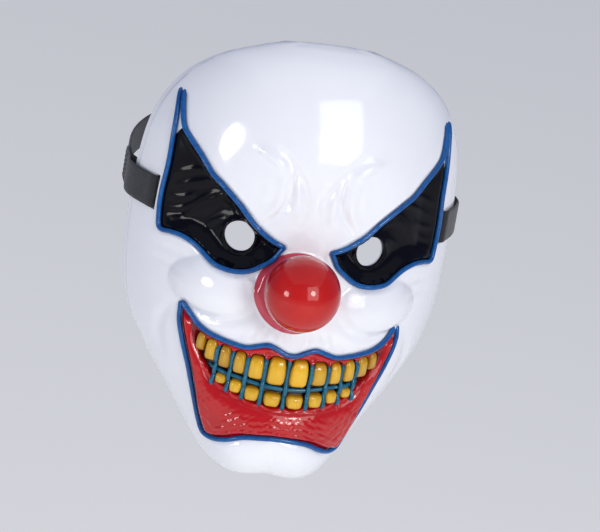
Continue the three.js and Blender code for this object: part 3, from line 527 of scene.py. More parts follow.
def make_piece(name, points, faces, sharp=40, **values):
    """A mesh object from points in millimetres and faces of three or four points, with smooth
    shading up to an angle and a value on each point for every name given."""
    used, faces_of_used = np.unique(np.concatenate([f.ravel() for f in faces]), return_inverse=True)
    sizes = np.concatenate([np.full(len(f), f.shape[1]) for f in faces])
    mesh = bpy.data.meshes.new(name)
    mesh.vertices.add(len(used))
    mesh.vertices.foreach_set("co", (points[used] / 1000).astype(np.float32).ravel())
    mesh.loops.add(int(sizes.sum()))
    mesh.loops.foreach_set("vertex_index", faces_of_used.ravel().astype(np.int32))
    mesh.polygons.add(len(sizes))
    mesh.polygons.foreach_set("loop_start", np.concatenate([[0], np.cumsum(sizes)[:-1]]).astype(np.int32))
    mesh.update(calc_edges=True)
    mesh.validate()
    mesh.shade_smooth()
    mesh.set_sharp_from_angle(angle=math.radians(sharp))
    for key, value in values.items():
        if value.ndim == 1:
            attribute = mesh.attributes.new(key, "FLOAT", "POINT")
            attribute.data.foreach_set("value", value[used].astype(np.float32))
        else:
            layer = mesh.uv_layers.new(name=key)
            layer.data.foreach_set("uv", value[used][faces_of_used.ravel()].astype(np.float32).ravel())
    piece = bpy.data.objects.new(name, mesh)
    bpy.context.scene.collection.objects.link(piece)
    return piece


def hex_colour(code):
    """An sRGB hex colour as linear light: each channel over 12.92 when dark, else to the power 2.4."""
    channels = [int(code[k:k + 2], 16) / 255 for k in (1, 3, 5)]
    return [c / 12.92 if c <= 0.04045 else ((c + 0.055) / 1.055) ** 2.4 for c in channels] + [1.0]


def add_node(material, kind, settings=None, **links):
    """Adds a node. Settings go to its own fields, or to its sockets by name or number; links join
    a socket, named with _ for a space, to another node's output."""
    node = material.node_tree.nodes.new(kind)
    for key, value in (settings or {}).items():
        if isinstance(key, str) and hasattr(node, key):
            setattr(node, key, value)
        else:
            node.inputs[key].default_value = value
    for key, output in links.items():
        socket = node.inputs[int(key[1:])] if key[1:].isdigit() else node.inputs[key.replace("_", " ")]
        material.node_tree.links.new(output, socket)
    return node


def new_material(name):
    """An empty material, ready for nodes."""
    material = bpy.data.materials.new(name)
    material.use_nodes = True
    material.node_tree.nodes.clear()
    return material


# Gloss lacquer over white impact polystyrene: a sharp reflection that wavers a little where the
# sheet was drawn over the mould, black lacquer sprayed to the outline of each eye, and red on the
# nose's base
face_lacquer = new_material("lacquered_polystyrene")
place = add_node(face_lacquer, "ShaderNodeTexCoord").outputs["Object"]
paint = add_node(face_lacquer, "ShaderNodeAttribute", {"attribute_name": "eye_paint"}).outputs["Fac"]
sprayed = add_node(face_lacquer, "ShaderNodeMapRange", {
    "interpolation_type": "SMOOTHSTEP", "From Min": -0.2, "From Max": 0.2}, Value=paint).outputs[0]
drift = add_node(face_lacquer, "ShaderNodeTexNoise", {"Scale": 24.0, "Detail": 3.0}, Vector=place)
white = add_node(face_lacquer, "ShaderNodeMix", {
    "data_type": "RGBA", 6: hex_colour("#EDEFF5"), 7: hex_colour("#F2F3F8")}, _0=drift.outputs["Fac"])
around_nose = add_node(face_lacquer, "ShaderNodeAttribute", {"attribute_name": "nose_paint"}).outputs["Fac"]
reddened = add_node(face_lacquer, "ShaderNodeMapRange", {
    "interpolation_type": "SMOOTHSTEP", "From Min": -0.3, "From Max": 0.3}, Value=around_nose).outputs[0]
pale = add_node(face_lacquer, "ShaderNodeMix", {
    "data_type": "RGBA", 7: hex_colour("#CB3F52")}, _0=reddened, _6=white.outputs[2])
colour = add_node(face_lacquer, "ShaderNodeMix", {
    "data_type": "RGBA", 7: hex_colour("#07070F")}, _0=sprayed, _6=pale.outputs[2])
smear = add_node(face_lacquer, "ShaderNodeTexNoise", {"Scale": 90.0, "Detail": 4.0}, Vector=place)
white_gloss = add_node(face_lacquer, "ShaderNodeMapRange", {
    "From Min": 0.3, "From Max": 0.7, "To Min": 0.09, "To Max": 0.16}, Value=smear.outputs["Fac"])
black_gloss = add_node(face_lacquer, "ShaderNodeMapRange", {
    "From Min": 0.3, "From Max": 0.7, "To Min": 0.16, "To Max": 0.26}, Value=smear.outputs["Fac"])
gloss = add_node(face_lacquer, "ShaderNodeMix", {"data_type": "FLOAT"}, _0=sprayed,
                 _2=white_gloss.outputs[0], _3=black_gloss.outputs[0])
# Draw waves 14 mm long, and the 1.2 mm orange peel of the lacquer
wave = add_node(face_lacquer, "ShaderNodeTexNoise", {"Scale": 70.0, "Detail": 1.0}, Vector=place)
peel = add_node(face_lacquer, "ShaderNodeTexNoise", {"Scale": 830.0, "Detail": 1.0}, Vector=place)
waved = add_node(face_lacquer, "ShaderNodeBump", {"Strength": 1.0, "Distance": 0.00008},
                 Height=wave.outputs["Fac"])
peeled = add_node(face_lacquer, "ShaderNodeBump", {"Strength": 0.5, "Distance": 0.000006},
                  Height=peel.outputs["Fac"], Normal=waved.outputs[0])
body = add_node(face_lacquer, "ShaderNodeMix", {"data_type": "FLOAT", 2: 0.5, 3: 0.08}, _0=sprayed)
film = add_node(face_lacquer, "ShaderNodeMix", {"data_type": "FLOAT", 2: 0.35, 3: 0.14}, _0=sprayed)
shader = add_node(face_lacquer, "ShaderNodeBsdfPrincipled", {"IOR": 1.5, "Coat Roughness": 0.05},
                  Base_Color=colour.outputs[2], Roughness=gloss.outputs[0],
                  Specular_IOR_Level=body.outputs[0], Coat_Weight=film.outputs[0], Normal=peeled.outputs[0])
add_node(face_lacquer, "ShaderNodeOutputMaterial", Surface=shader.outputs[0])

# How far each point lies inside the edge of a paint; the inner side has none
UNPAINTED = -9.0
NOSE_PAINT_RADIUS = COLLAR_RADIUS + 0.6
paint_gap = near_line(eye_patch, np.abs(x_grid), z_grid)[0]
paint_gap = np.where(holds(eye_patch, np.abs(x_grid), z_grid), paint_gap, -paint_gap)
face_points = np.concatenate([skin_point(u_grid, v_grid, relief).reshape(-1, 3),
                              skin_point(u_grid, v_grid, inner).reshape(-1, 3)])
eye_paint = np.concatenate([paint_gap.ravel(), np.full(paint_gap.size, UNPAINTED)])
nose_gap = NOSE_PAINT_RADIUS - np.hypot(x_grid - COLLAR_SPOT[0], z_grid - COLLAR_SPOT[1])
nose_paint = np.concatenate([nose_gap.ravel(), np.full(nose_gap.size, UNPAINTED)])
mask_face = make_piece("mask_face", face_points, [grid_faces(face_keep, relief.size)], eye_paint=eye_paint,
                       nose_paint=nose_paint)
mask_face.data.materials.append(face_lacquer)
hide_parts("shell")
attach(mask_face, "root")

# The mouth: lips and gums pressed from one thin red sheet with the same lacquer. It sits in the
# face's sunk mouth, and its edge is tucked under the mouth wire.
GUM_LINE = [
    (0.000, -0.243), (0.140, -0.232), (0.272, -0.241), (0.418, -0.236), (0.544, -0.216),
    (0.588, -0.207), (0.563, -0.250), (0.506, -0.290), (0.449, -0.329), (0.361, -0.355),
    (0.247, -0.367), (0.127, -0.373), (0.000, -0.375),
]
# Teeth of one half as shares: middle and width of the half width, top and bottom of the height
UPPER_TEETH = [
    (0.070, 0.112, -0.243, -0.313), (0.194, 0.093, -0.247, -0.306), (0.293, 0.073, -0.245, -0.301),
    (0.381, 0.066, -0.238, -0.296), (0.462, 0.066, -0.230, -0.287), (0.524, 0.050, -0.222, -0.270),
]
LOWER_TEETH = [
    (0.070, 0.105, -0.330, -0.365), (0.194, 0.090, -0.323, -0.359), (0.293, 0.071, -0.315, -0.348),
    (0.381, 0.064, -0.308, -0.334),
]
# The gums' edges over and under the teeth, and the gaps between the teeth, in millimetres
UPPER_MARGIN = [
    (5.5, -50.3), (15.3, -51.0), (23.1, -50.8), (30.1, -49.5), (36.5, -47.9), (41.4, -46.4), (45, -46.5),
]
LOWER_MARGIN = [(5.5, -76.2), (15.3, -75), (23.1, -72.7), (30.1, -69.8), (35, -66), (40, -60), (44.5, -50)]
TOOTH_GAPS = (0.0, 10.8, 19.5, 26.8, 33.4, 39.0)
RECESS = -3.0
GUM_LEVEL = -1.1
LIP_ROLL = 3.7
WELT_HEIGHT = 0.26
LUMP_HEIGHT = 0.16
BEAD_HEIGHT = 0.2
LIP_SHEET = 0.8
LIP_BACK = -2.2
EDGE_TUCK = 0.3
MOUTH_COLUMNS = 250
MOUTH_ROWS = 104
gum_half = face_line(GUM_LINE)


def gum_margins(s):
    """Heights of the gums' edges over and under the teeth, with a point of gum in every gap."""
    points = sum(np.exp(-(((s - gap) / 1.4) ** 2)) for gap in TOOTH_GAPS)
    over = np.interp(s, *np.array(UPPER_MARGIN).T) - 2.4 * points
    under = np.interp(s, *np.array(LOWER_MARGIN).T) + 1.7 * points * (s < 30)
    return over, under


def mouth_edge_gap(s, z):
    """Distance to the mouth's outline."""
    return np.minimum(near_line(lip_line, s, z)[0], near_line(jaw_line, s, z)[0])


def mouth_relief(x, z):
    """Lips roll as the sine of the way from the outline to the gums. Where they are wide, waves in
    step with the outline (welts) and products of sines (lumps 7 mm and beads 3 mm across) roughen
    them. The gums stand lower, thicken along their edges, and drop to the teeth's recess. It also
    gives how far each spot lies in that recess, which darkens the red lacquer as painted shade."""
    s = np.abs(x)
    from_edge = mouth_edge_gap(s, z)
    from_gum = near_line(gum_half, s, z)[0]
    gums = holds(gum_half, s, z)
    width = from_edge + from_gum
    wide = soft_step(3, 10, width)
    arch = np.sin(np.pi * (from_edge / width) ** (1 - 0.38 * wide))
    roll = np.minimum(LIP_ROLL, (0.5 - 0.2 * wide) * width) * arch ** (0.85 - 0.3 * wide)
    lumps = np.sin(0.83 * x + 0.5) * np.sin(1.05 * z - 0.21 * x)
    lumps = lumps + 0.7 * np.sin(1.7 * x - 0.9 * z) * np.sin(1.31 * z)
    broken = 0.7 + 0.3 * np.sin(0.71 * x + 1.1) * np.sin(0.33 * x - 0.4)
    welts = np.sin(2.1 * from_edge + 0.9 * np.sin(0.47 * x + 0.5)) * broken
    beads = np.sin(1.9 * x + 0.9 * np.sin(0.8 * z)) * np.sin(2.1 * z - 0.4 * x + 0.5)
    roll = roll + wide * arch * (WELT_HEIGHT * welts + LUMP_HEIGHT * lumps + BEAD_HEIGHT * beads)
    over, under = gum_margins(s)
    recess = soft_step(-0.5, 0.7, over - z) * soft_step(-0.5, 0.7, z - under) * (1 - soft_step(43, 45, s))
    thick = 1.0 * np.exp(-(((z - over - 0.9) / 1.1) ** 2)) + 0.9 * np.exp(-(((under - z - 0.9) / 1.2) ** 2))
    gum = (GUM_LEVEL + thick) * soft_step(0, 1.6, from_gum)
    height = np.where(gums, gum, roll)
    return height + (RECESS - height) * recess * soft_step(0.3, 1.2, from_edge), recess


lip_whole = even_spots(np.concatenate([lip_line[::-1] * (-1, 1), lip_line[1:]]), MOUTH_COLUMNS + 1)
jaw_whole = even_spots(np.concatenate([jaw_line * (-1, 1), jaw_line[::-1][1:]]), MOUTH_COLUMNS + 1)
rise = np.linspace(0, 1, MOUTH_ROWS + 1)[:, None, None]
mouth_spots = jaw_whole + (lip_whole - jaw_whole) * rise
mouth_x, mouth_z = mouth_spots[..., 0], mouth_spots[..., 1]
mouth_height, mouth_recess = mouth_relief(mouth_x, mouth_z)
mouth_height = bedded(mouth_height, mouth_x, mouth_z)
edge_gap = mouth_edge_gap(np.abs(mouth_x), mouth_z)
mouth_height = mouth_height - EDGE_TUCK * (1 - soft_step(0, 1.0, edge_gap))
# Painted shade: darker gums towards the mouth's corners, joined to the recess share that darkens the red
# lacquer
corner_shade = 0.7 * soft_step(35, 47, np.abs(mouth_x)) * holds(gum_half, np.abs(mouth_x), mouth_z)
mouth_recess = np.maximum(mouth_recess, corner_shade)
mouth_u, mouth_v = place_at(mouth_x, mouth_z)
mouth_back = np.minimum(mouth_height - LIP_SHEET, LIP_BACK)
mouth_points = np.concatenate([skin_point(mouth_u, mouth_v, mouth_height).reshape(-1, 3),
                               skin_point(mouth_u, mouth_v, mouth_back).reshape(-1, 3)])

# Gloss red lacquer, wet-looking, its red varying at random; painted shade darkens it to almost black
# red down between the teeth and towards the mouth's corners
lip_lacquer = new_material("red_lip_lacquer")
place = add_node(lip_lacquer, "ShaderNodeTexCoord").outputs["Object"]
depth = add_node(lip_lacquer, "ShaderNodeAttribute", {"attribute_name": "recess"}).outputs["Fac"]
cloud = add_node(lip_lacquer, "ShaderNodeTexNoise", {"Scale": 130.0, "Detail": 3.0}, Vector=place)
red = add_node(lip_lacquer, "ShaderNodeMix", {
    "data_type": "RGBA", 6: hex_colour("#AC060E"), 7: hex_colour("#C20E14")}, _0=cloud.outputs["Fac"])
# Painted shade: the red darkens to almost black red as the recess share grows
shaded_red = add_node(lip_lacquer, "ShaderNodeMix", {"data_type": "RGBA", 7: hex_colour("#2A0507")},
                _0=depth, _6=red.outputs[2])
shader = add_node(lip_lacquer, "ShaderNodeBsdfPrincipled", {"Roughness": 0.4, "Specular IOR Level": 0.08,
                  "Coat Weight": 1.0, "Coat Roughness": 0.04, "Coat IOR": 1.5}, Base_Color=shaded_red.outputs[2])
add_node(lip_lacquer, "ShaderNodeOutputMaterial", Surface=shader.outputs[0])
mouth_keep = np.ones((MOUTH_ROWS, MOUTH_COLUMNS), bool)
lips_and_gums = make_piece("lips_and_gums", mouth_points, [grid_faces(mouth_keep, mouth_height.size)],
                           recess=np.tile(mouth_recess.ravel(), 2))
lips_and_gums.data.materials.append(lip_lacquer)
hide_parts("shell")
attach(lips_and_gums, "root")

# The teeth: twelve above and eight below, pressed as one strip with the mouth and sprayed yellow.
# Each is a dome whose plan is a rounded oblong, narrower at the gum.
TOOTH_RINGS = 13
TOOTH_SPOKES = 40
TOOTH_POWER = 4.6
TOOTH_FLOOR = RECESS - 0.3
TOOTH_TOP = 1.3
TOOTH_CROWN = 0.45
TOOTH_FLUTE = 0.16
NECK = 0.18
TOOTH_FULLNESS = 1.09
TEETH_REACH = 42.0

tooth_rows = []
for rows, toward_gum in ((UPPER_TEETH, 1), (LOWER_TEETH, -1)):
    for middle, width, top, bottom in rows:
        for side in (-1, 1):
            half_wide = TOOTH_FULLNESS * width * HALF_WIDTH / 2
            half_tall = (top - bottom) * FACE_HEIGHT / 2
            tooth_rows.append((side * middle * HALF_WIDTH, (top + bottom) * FACE_HEIGHT / 2,
                               half_wide, half_tall, toward_gum))
tooth_rows = np.array(tooth_rows)


def dome(q):
    """Height of a tooth over its floor at a share q of the way to its edge: the whole height times
    the root of 1 less q to the fifth, less a slight crown that falls with q squared."""
    return (TOOTH_TOP - TOOTH_FLOOR) * np.clip(1 - q**5, 0, 1) ** 0.5 - TOOTH_CROWN * q**2


def ring_quads(first, rings, sides):
    """Faces between rings of points that follow each other from the first point on: each face runs
    one side round, on to the next ring, and back."""
    spin = np.arange(sides)
    turned = (spin + 1) % sides
    rows = first + (np.arange(rings - 1) * sides)[:, None]
    faces = np.stack([rows + spin, rows + turned, rows + sides + turned, rows + sides + spin], -1)
    return faces.reshape(-1, 4)


def ring_fan(centre, first, sides):
    """Triangles from a centre point to each side of the ring that starts at the first point."""
    spin = np.arange(sides)
    return np.stack([np.full(sides, centre), first + spin, first + (spin + 1) % sides], -1)


def neck_width(rise, toward_gum):
    """A tooth's width narrows by NECK from its middle to the gum."""
    return 1 - NECK * soft_step(0, 1, rise * toward_gum)


def tooth_height(x, z):
    """The highest tooth at each spot, or the recess where there is none."""
    top = np.full(np.shape(x), RECESS)
    for cx, cz, wide, tall, toward_gum in tooth_rows:
        rise = (z - cz) / tall
        across = (x - cx) / (wide * neck_width(rise, toward_gum))
        q = (np.abs(across) ** TOOTH_POWER + np.abs(rise) ** TOOTH_POWER) ** (1 / TOOTH_POWER)
        top = np.maximum(top, TOOTH_FLOOR + dome(q))
    return top


ring_share = np.concatenate([np.linspace(0, 0.7, 6), [0.79, 0.86, 0.92, 0.96, 0.985, 0.997, 1.0]])
spoke = 2 * math.pi * np.arange(TOOTH_SPOKES) / TOOTH_SPOKES
plan_x = np.sign(np.cos(spoke)) * np.abs(np.cos(spoke)) ** (2 / TOOTH_POWER)
plan_z = np.sign(np.sin(spoke)) * np.abs(np.sin(spoke)) ** (2 / TOOTH_POWER)
cx, cz, wide, tall, toward_gum = (column[:, None, None] for column in tooth_rows.T)
tooth_rise = ring_share[None, :, None] * plan_z
tooth_across = ring_share[None, :, None] * plan_x * neck_width(tooth_rise, toward_gum)
tooth_x = cx + wide * tooth_across
tooth_z = cz + tall * tooth_rise
flutes = TOOTH_FLUTE * np.cos(3 * math.pi * tooth_across) * (1 - ring_share[None, :, None] ** 2)
tooth_level = TOOTH_FLOOR + dome(ring_share)[None, :, None] + flutes
tooth_u, tooth_v = place_at(tooth_x, tooth_z)
domes = skin_point(tooth_u, tooth_v, tooth_level)
backs = domes[:, -1].mean(1, keepdims=True)
tooth_points = np.concatenate([domes[:, 0, :1], domes[:, 1:].reshape(len(tooth_rows), -1, 3), backs], 1)
per_tooth = tooth_points.shape[1]
# Rings run outwards and the fans close them in front and behind, so rings and back are turned over
cap = ring_fan(0, 1, TOOTH_SPOKES)
bands = ring_quads(1, TOOTH_RINGS - 1, TOOTH_SPOKES)[:, [0, 3, 2, 1]]
floor_fan = ring_fan(per_tooth - 1, 1 + (TOOTH_RINGS - 2) * TOOTH_SPOKES, TOOTH_SPOKES)[:, [0, 2, 1]]
starts = (np.arange(len(tooth_rows)) * per_tooth)[:, None, None]
tooth_faces = [(starts + part).reshape(-1, part.shape[1]) for part in (cap, bands, floor_fan)]
# Each tooth has its own tone drawn at random, plus painted shade that darkens the teeth towards the corners
# of the mouth
shade = np.random.default_rng(7).uniform(0, 0.5, len(tooth_rows))
shade = shade + 0.5 * (1 - np.abs(tooth_rows[:, 0]) / TEETH_REACH)
edge_value = np.concatenate([np.zeros(1), np.repeat(ring_share[1:], TOOTH_SPOKES), np.ones(1)])
rise_value = (tooth_rise * toward_gum)[:, 1:].reshape(len(tooth_rows), -1)
rise_value = np.pad(rise_value, ((0, 0), (1, 1)))

# Yellow lacquer over the same sheet: a painted highlight pales the middle of each tooth, and the
# colour turns brown round its ragged edge and towards the gum
tooth_lacquer = new_material("yellow_tooth_lacquer")
place = add_node(tooth_lacquer, "ShaderNodeTexCoord").outputs["Object"]
edge = add_node(tooth_lacquer, "ShaderNodeAttribute", {"attribute_name": "edge"}).outputs["Fac"]
neck = add_node(tooth_lacquer, "ShaderNodeAttribute", {"attribute_name": "neck"}).outputs["Fac"]
tone_and_shade_value = add_node(tooth_lacquer, "ShaderNodeAttribute", {"attribute_name": "shade"}).outputs["Fac"]
# Each tooth's tone: random, with painted shade on the outer teeth
body = add_node(tooth_lacquer, "ShaderNodeMix", {
    "data_type": "RGBA", 6: hex_colour("#A06F10"), 7: hex_colour("#EDB608")}, _0=tone_and_shade_value)
# Painted highlight: paler yellow in the middle of each tooth
centre = add_node(tooth_lacquer, "ShaderNodeMapRange", {
    "interpolation_type": "SMOOTHSTEP", "From Min": 0.1, "From Max": 0.75, "To Min": 0.25, "To Max": 0.0},
    Value=edge)
lit = add_node(tooth_lacquer, "ShaderNodeMix", {"data_type": "RGBA", 7: hex_colour("#F6CE30")},
               _0=centre.outputs[0], _6=body.outputs[2])
edge_noise = add_node(tooth_lacquer, "ShaderNodeTexNoise", {"Scale": 600.0, "Detail": 3.0}, Vector=place)
ragged_edge = add_node(tooth_lacquer, "ShaderNodeMath", {"operation": "MULTIPLY_ADD", 1: 0.22},
                  _0=edge_noise.outputs["Fac"], _2=edge)
ring = add_node(tooth_lacquer, "ShaderNodeMapRange", {
    "interpolation_type": "SMOOTHSTEP", "From Min": 0.86, "From Max": 1.12, "To Max": 0.8},
    Value=ragged_edge.outputs[0])
browned = add_node(tooth_lacquer, "ShaderNodeMix", {"data_type": "RGBA", 7: hex_colour("#8A5208")},
                   _0=ring.outputs[0], _6=lit.outputs[2])
gumward = add_node(tooth_lacquer, "ShaderNodeMapRange", {
    "interpolation_type": "SMOOTHSTEP", "From Min": 0.5, "From Max": 1.0, "To Max": 0.45}, Value=neck)
necked = add_node(tooth_lacquer, "ShaderNodeMix", {"data_type": "RGBA", 7: hex_colour("#C07C14")},
                  _0=gumward.outputs[0], _6=browned.outputs[2])
shader = add_node(tooth_lacquer, "ShaderNodeBsdfPrincipled", {"Roughness": 0.35, "Specular IOR Level": 0.2,
                  "Coat Weight": 0.9, "Coat Roughness": 0.06}, Base_Color=necked.outputs[2])
add_node(tooth_lacquer, "ShaderNodeOutputMaterial", Surface=shader.outputs[0])
teeth = make_piece("teeth", tooth_points.reshape(-1, 3), tooth_faces,
                   edge=np.tile(edge_value, len(tooth_rows)), neck=rise_value.ravel(),
                   shade=np.repeat(shade, per_tooth))
teeth.data.materials.append(tooth_lacquer)
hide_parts("shell")
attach(teeth, "root")

# The nose: a hollow ball of soft vinyl, flat behind where it is glued to its moulded base
nose_low, nose_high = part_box("nose")
NOSE_MIDDLE = nose_low.y * 1000 + NOSE_RADIUS
NOSE_BACK = nose_high.y * 1000
back_radius = math.sqrt(NOSE_RADIUS**2 - (NOSE_BACK - NOSE_MIDDLE) ** 2)
NOSE_SPOKES = 96
NOSE_ARC_RINGS = 60
# Rings of the edge behind, as how far in from the edge and how far ahead of the flat
NOSE_EDGE = np.array([(0.15, 0.12), (0.6, 0.0), (1.2, 0.0)])
front_arc = np.linspace(0, math.acos((NOSE_MIDDLE - NOSE_BACK + 0.6) / NOSE_RADIUS), NOSE_ARC_RINGS)
nose_r = np.concatenate([NOSE_RADIUS * np.sin(front_arc[1:]), back_radius - NOSE_EDGE[:, 0]])
nose_y = np.concatenate([NOSE_MIDDLE - NOSE_RADIUS * np.cos(front_arc[1:]), NOSE_BACK - NOSE_EDGE[:, 1]])
turn = 2 * math.pi * np.arange(NOSE_SPOKES) / NOSE_SPOKES
nose_rings = np.stack([NOSE_SPOT[0] + nose_r[:, None] * np.cos(turn),
                       np.repeat(nose_y[:, None], NOSE_SPOKES, 1),
                       NOSE_SPOT[1] + nose_r[:, None] * np.sin(turn)], -1)
nose_tip = (NOSE_SPOT[0], NOSE_MIDDLE - NOSE_RADIUS, NOSE_SPOT[1])
nose_end = (NOSE_SPOT[0], NOSE_BACK, NOSE_SPOT[1])
nose_points = np.concatenate([[nose_tip], nose_rings.reshape(-1, 3), [nose_end]])
nose_front = ring_fan(0, 1, NOSE_SPOKES)
nose_bands = ring_quads(1, len(nose_r), NOSE_SPOKES)[:, [0, 3, 2, 1]]
nose_flat = ring_fan(len(nose_points) - 1, 1 + (len(nose_r) - 1) * NOSE_SPOKES, NOSE_SPOKES)[:, [0, 2, 1]]
nose_faces = [nose_front, nose_bands, nose_flat]

# Red vinyl moulded in a polished mould: deep colour, a hard gloss, and slight sink marks
nose_vinyl = new_material("red_vinyl")
place = add_node(nose_vinyl, "ShaderNodeTexCoord").outputs["Object"]
cloud = add_node(nose_vinyl, "ShaderNodeTexNoise", {"Scale": 75.0, "Detail": 2.0}, Vector=place)
red = add_node(nose_vinyl, "ShaderNodeMix", {"data_type": "RGBA", 6: hex_colour("#B00F0C"),
               7: hex_colour("#C61915")}, _0=cloud.outputs["Fac"])
sink = add_node(nose_vinyl, "ShaderNodeTexNoise", {"Scale": 110.0, "Detail": 1.0}, Vector=place)
sunk = add_node(nose_vinyl, "ShaderNodeBump", {"Strength": 1.0, "Distance": 0.00012},
                Height=sink.outputs["Fac"])
shader = add_node(nose_vinyl, "ShaderNodeBsdfPrincipled", {"Roughness": 0.4, "Specular IOR Level": 0.08,
                  "Coat Weight": 1.0, "Coat Roughness": 0.07, "Coat IOR": 1.42},
                  Base_Color=red.outputs[2], Normal=sunk.outputs[0])
add_node(nose_vinyl, "ShaderNodeOutputMaterial", Surface=shader.outputs[0])
ball_nose = make_piece("ball_nose", nose_points, nose_faces)
ball_nose.data.materials.append(nose_vinyl)
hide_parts("nose")
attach(ball_nose, "root")

# The outline wires: light wire, unlit, in a clear blue vinyl sleeve, pressed into its bed. Both
# ends of each go through the face beside each other.
TAIL = 4.0
SLEEVE_SIDES = 16
SLEEVE_STEP = 0.8
NO_WAY = (0.31, 0.77, 0.56)


def tube(path, radius, sides, roundness=3):
    """A circle carried along the path. Its frame is turned just enough at every step to stay
    square to the way, and both ends are domed. The first frame is square to NO_WAY too, a
    direction in which no path starts. It gives the points, the faces, how far along the path each
    point is, and its share of a turn round it."""
    way = np.gradient(path, axis=0)
    way /= np.linalg.norm(way, axis=1, keepdims=True)
    first = np.cross(way[0], NO_WAY)
    side = [first / np.linalg.norm(first)]
    for ahead in way[1:]:
        level = side[-1] - ahead * (side[-1] @ ahead)
        side.append(level / np.linalg.norm(level))
    side = np.array(side)
    other = np.cross(way, side)
    swell = np.sin(np.linspace(0.15, 1, roundness) * math.pi / 2)
    push = np.cos(np.linspace(0.15, 1, roundness) * math.pi / 2)
    start_rings = path[:1] - way[:1] * radius * push[:, None]
    end_rings = (path[-1:] + way[-1:] * radius * push[:, None])[::-1]
    middles = np.concatenate([start_rings, path[1:-1], end_rings])
    sizes = np.concatenate([swell, np.ones(len(path) - 2), swell[::-1]]) * radius
    places = np.repeat(np.arange(len(path)), [roundness] + [1] * (len(path) - 2) + [roundness])
    sides_of, others_of = side[places], other[places]
    turn = 2 * math.pi * np.arange(sides) / sides
    rings = middles[:, None] + sizes[:, None, None] * (
        sides_of[:, None] * np.cos(turn)[:, None] + others_of[:, None] * np.sin(turn)[:, None])
    count = len(middles)
    tips = np.stack([path[0] - way[0] * radius, path[-1] + way[-1] * radius])
    points = np.concatenate([rings.reshape(-1, 3), tips])
    start_fan = ring_fan(count * sides, 0, sides)[:, [0, 2, 1]]
    end_fan = ring_fan(count * sides + 1, (count - 1) * sides, sides)
    along = length_along(middles)
    values = np.concatenate([np.repeat(along, sides), [0, along[-1]]])
    around = np.concatenate([np.tile(np.arange(sides) / sides, count), [0, 0]])
    return points, [ring_quads(0, count, sides), start_fan, end_fan], values, around


def dive(centres, hole, end):
    """The last three places at one end of a wire become a tail: over the middle of its hole and
    square through the face."""
    u, v = place_at(np.array([hole[0]]), np.array([hole[1]]))
    level = plain_relief(np.array([hole[0]]), np.array([hole[1]]))
    drops = [skin_point(u, v, level + rise)[0] for rise in (-0.3, -1.7, -WALL - 1, -WALL - TAIL)]
    bend = np.array(drops)
    if end == "start":
        return np.concatenate([bend[::-1], centres[3:]])
    return np.concatenate([centres[:-3], bend])


def bed_path(bed, start_hole, end_hole):
    """The middle of a wire lying in its bed, with a tail at either end, cut into even steps."""
    u, v = place_at(bed["spots"][:, 0], bed["spots"][:, 1])
    centres = skin_point(u, v, bed["level"] - BED_DEPTH + WIRE_RADIUS + 0.05)
    centres = dive(centres, start_hole, "start")
    centres = dive(centres, end_hole, "end")
    return even_line(centres, SLEEVE_STEP)


# Clear blue vinyl over a bright core: the core's two hair wires, wound round it every 5 mm, show
# as faint darker turns
blue_sleeve = new_material("blue_sleeve")
twist = add_node(blue_sleeve, "ShaderNodeAttribute", {"attribute_name": "along"}).outputs["Fac"]
around = add_node(blue_sleeve, "ShaderNodeAttribute", {"attribute_name": "around"}).outputs["Fac"]
turns = add_node(blue_sleeve, "ShaderNodeMath", {"operation": "MULTIPLY_ADD", 1: 0.2}, _0=twist, _2=around)
beat = add_node(blue_sleeve, "ShaderNodeMath", {"operation": "PINGPONG", 1: 0.5}, _0=turns.outputs[0])
hair = add_node(blue_sleeve, "ShaderNodeMapRange", {
    "interpolation_type": "SMOOTHSTEP", "From Min": 0.0, "From Max": 0.12, "To Min": 0.45, "To Max": 0.0},
    Value=beat.outputs[0])
place = add_node(blue_sleeve, "ShaderNodeTexCoord").outputs["Object"]
cloud = add_node(blue_sleeve, "ShaderNodeTexNoise", {"Scale": 60.0, "Detail": 2.0}, Vector=place)
blue = add_node(blue_sleeve, "ShaderNodeMix", {"data_type": "RGBA", 6: hex_colour("#073E84"),
                7: hex_colour("#1068AC")}, _0=cloud.outputs["Fac"])
wound = add_node(blue_sleeve, "ShaderNodeMix", {"data_type": "RGBA", 7: hex_colour("#07224A")},
                 _0=hair.outputs[0], _6=blue.outputs[2])
shader = add_node(blue_sleeve, "ShaderNodeBsdfPrincipled", {"Roughness": 0.4, "Specular IOR Level": 0.1,
                  "Coat Weight": 0.8, "Coat Roughness": 0.06, "Coat IOR": 1.42}, Base_Color=wound.outputs[2])
add_node(blue_sleeve, "ShaderNodeOutputMaterial", Surface=shader.outputs[0])

mirrored_inner, mirrored_outer = (-inner_hole[0], inner_hole[1]), (-outer_hole[0], outer_hole[1])
outline_wires = (
    ("outline_wire_eye_left", "eye_wire_left", beds[0], inner_hole, outer_hole),
    ("outline_wire_eye_right", "eye_wire_right", beds[1], mirrored_inner, mirrored_outer),
    ("outline_wire_mouth", "mouth_wire", beds[2], lip_hole, jaw_hole),
)
for name, node_name, bed, start_hole, end_hole in outline_wires:
    points, faces, along, around_share = tube(bed_path(bed, start_hole, end_hole), WIRE_RADIUS, SLEEVE_SIDES)
    wire = make_piece(name, points, faces, sharp=60, along=along, around=around_share)
    wire.data.materials.append(blue_sleeve)
    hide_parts(node_name)
    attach(wire, "root")

# The tooth wires: thinner light wire, one length along the bite and nine uprights over it in the
# gaps. Each end is pushed into the gum.
THIN_RADIUS = 1.0
THIN_SIDES = 12
BITE_STEP = 0.7
UPRIGHT_STEP = 0.6
END_SINK = 2.4
BITE_LINE = [
    (-0.477, -0.296), (-0.418, -0.303), (-0.342, -0.307), (-0.235, -0.313), (-0.127, -0.318),
    (0.000, -0.320), (0.127, -0.318), (0.235, -0.313), (0.342, -0.307), (0.418, -0.303), (0.477, -0.296),
]
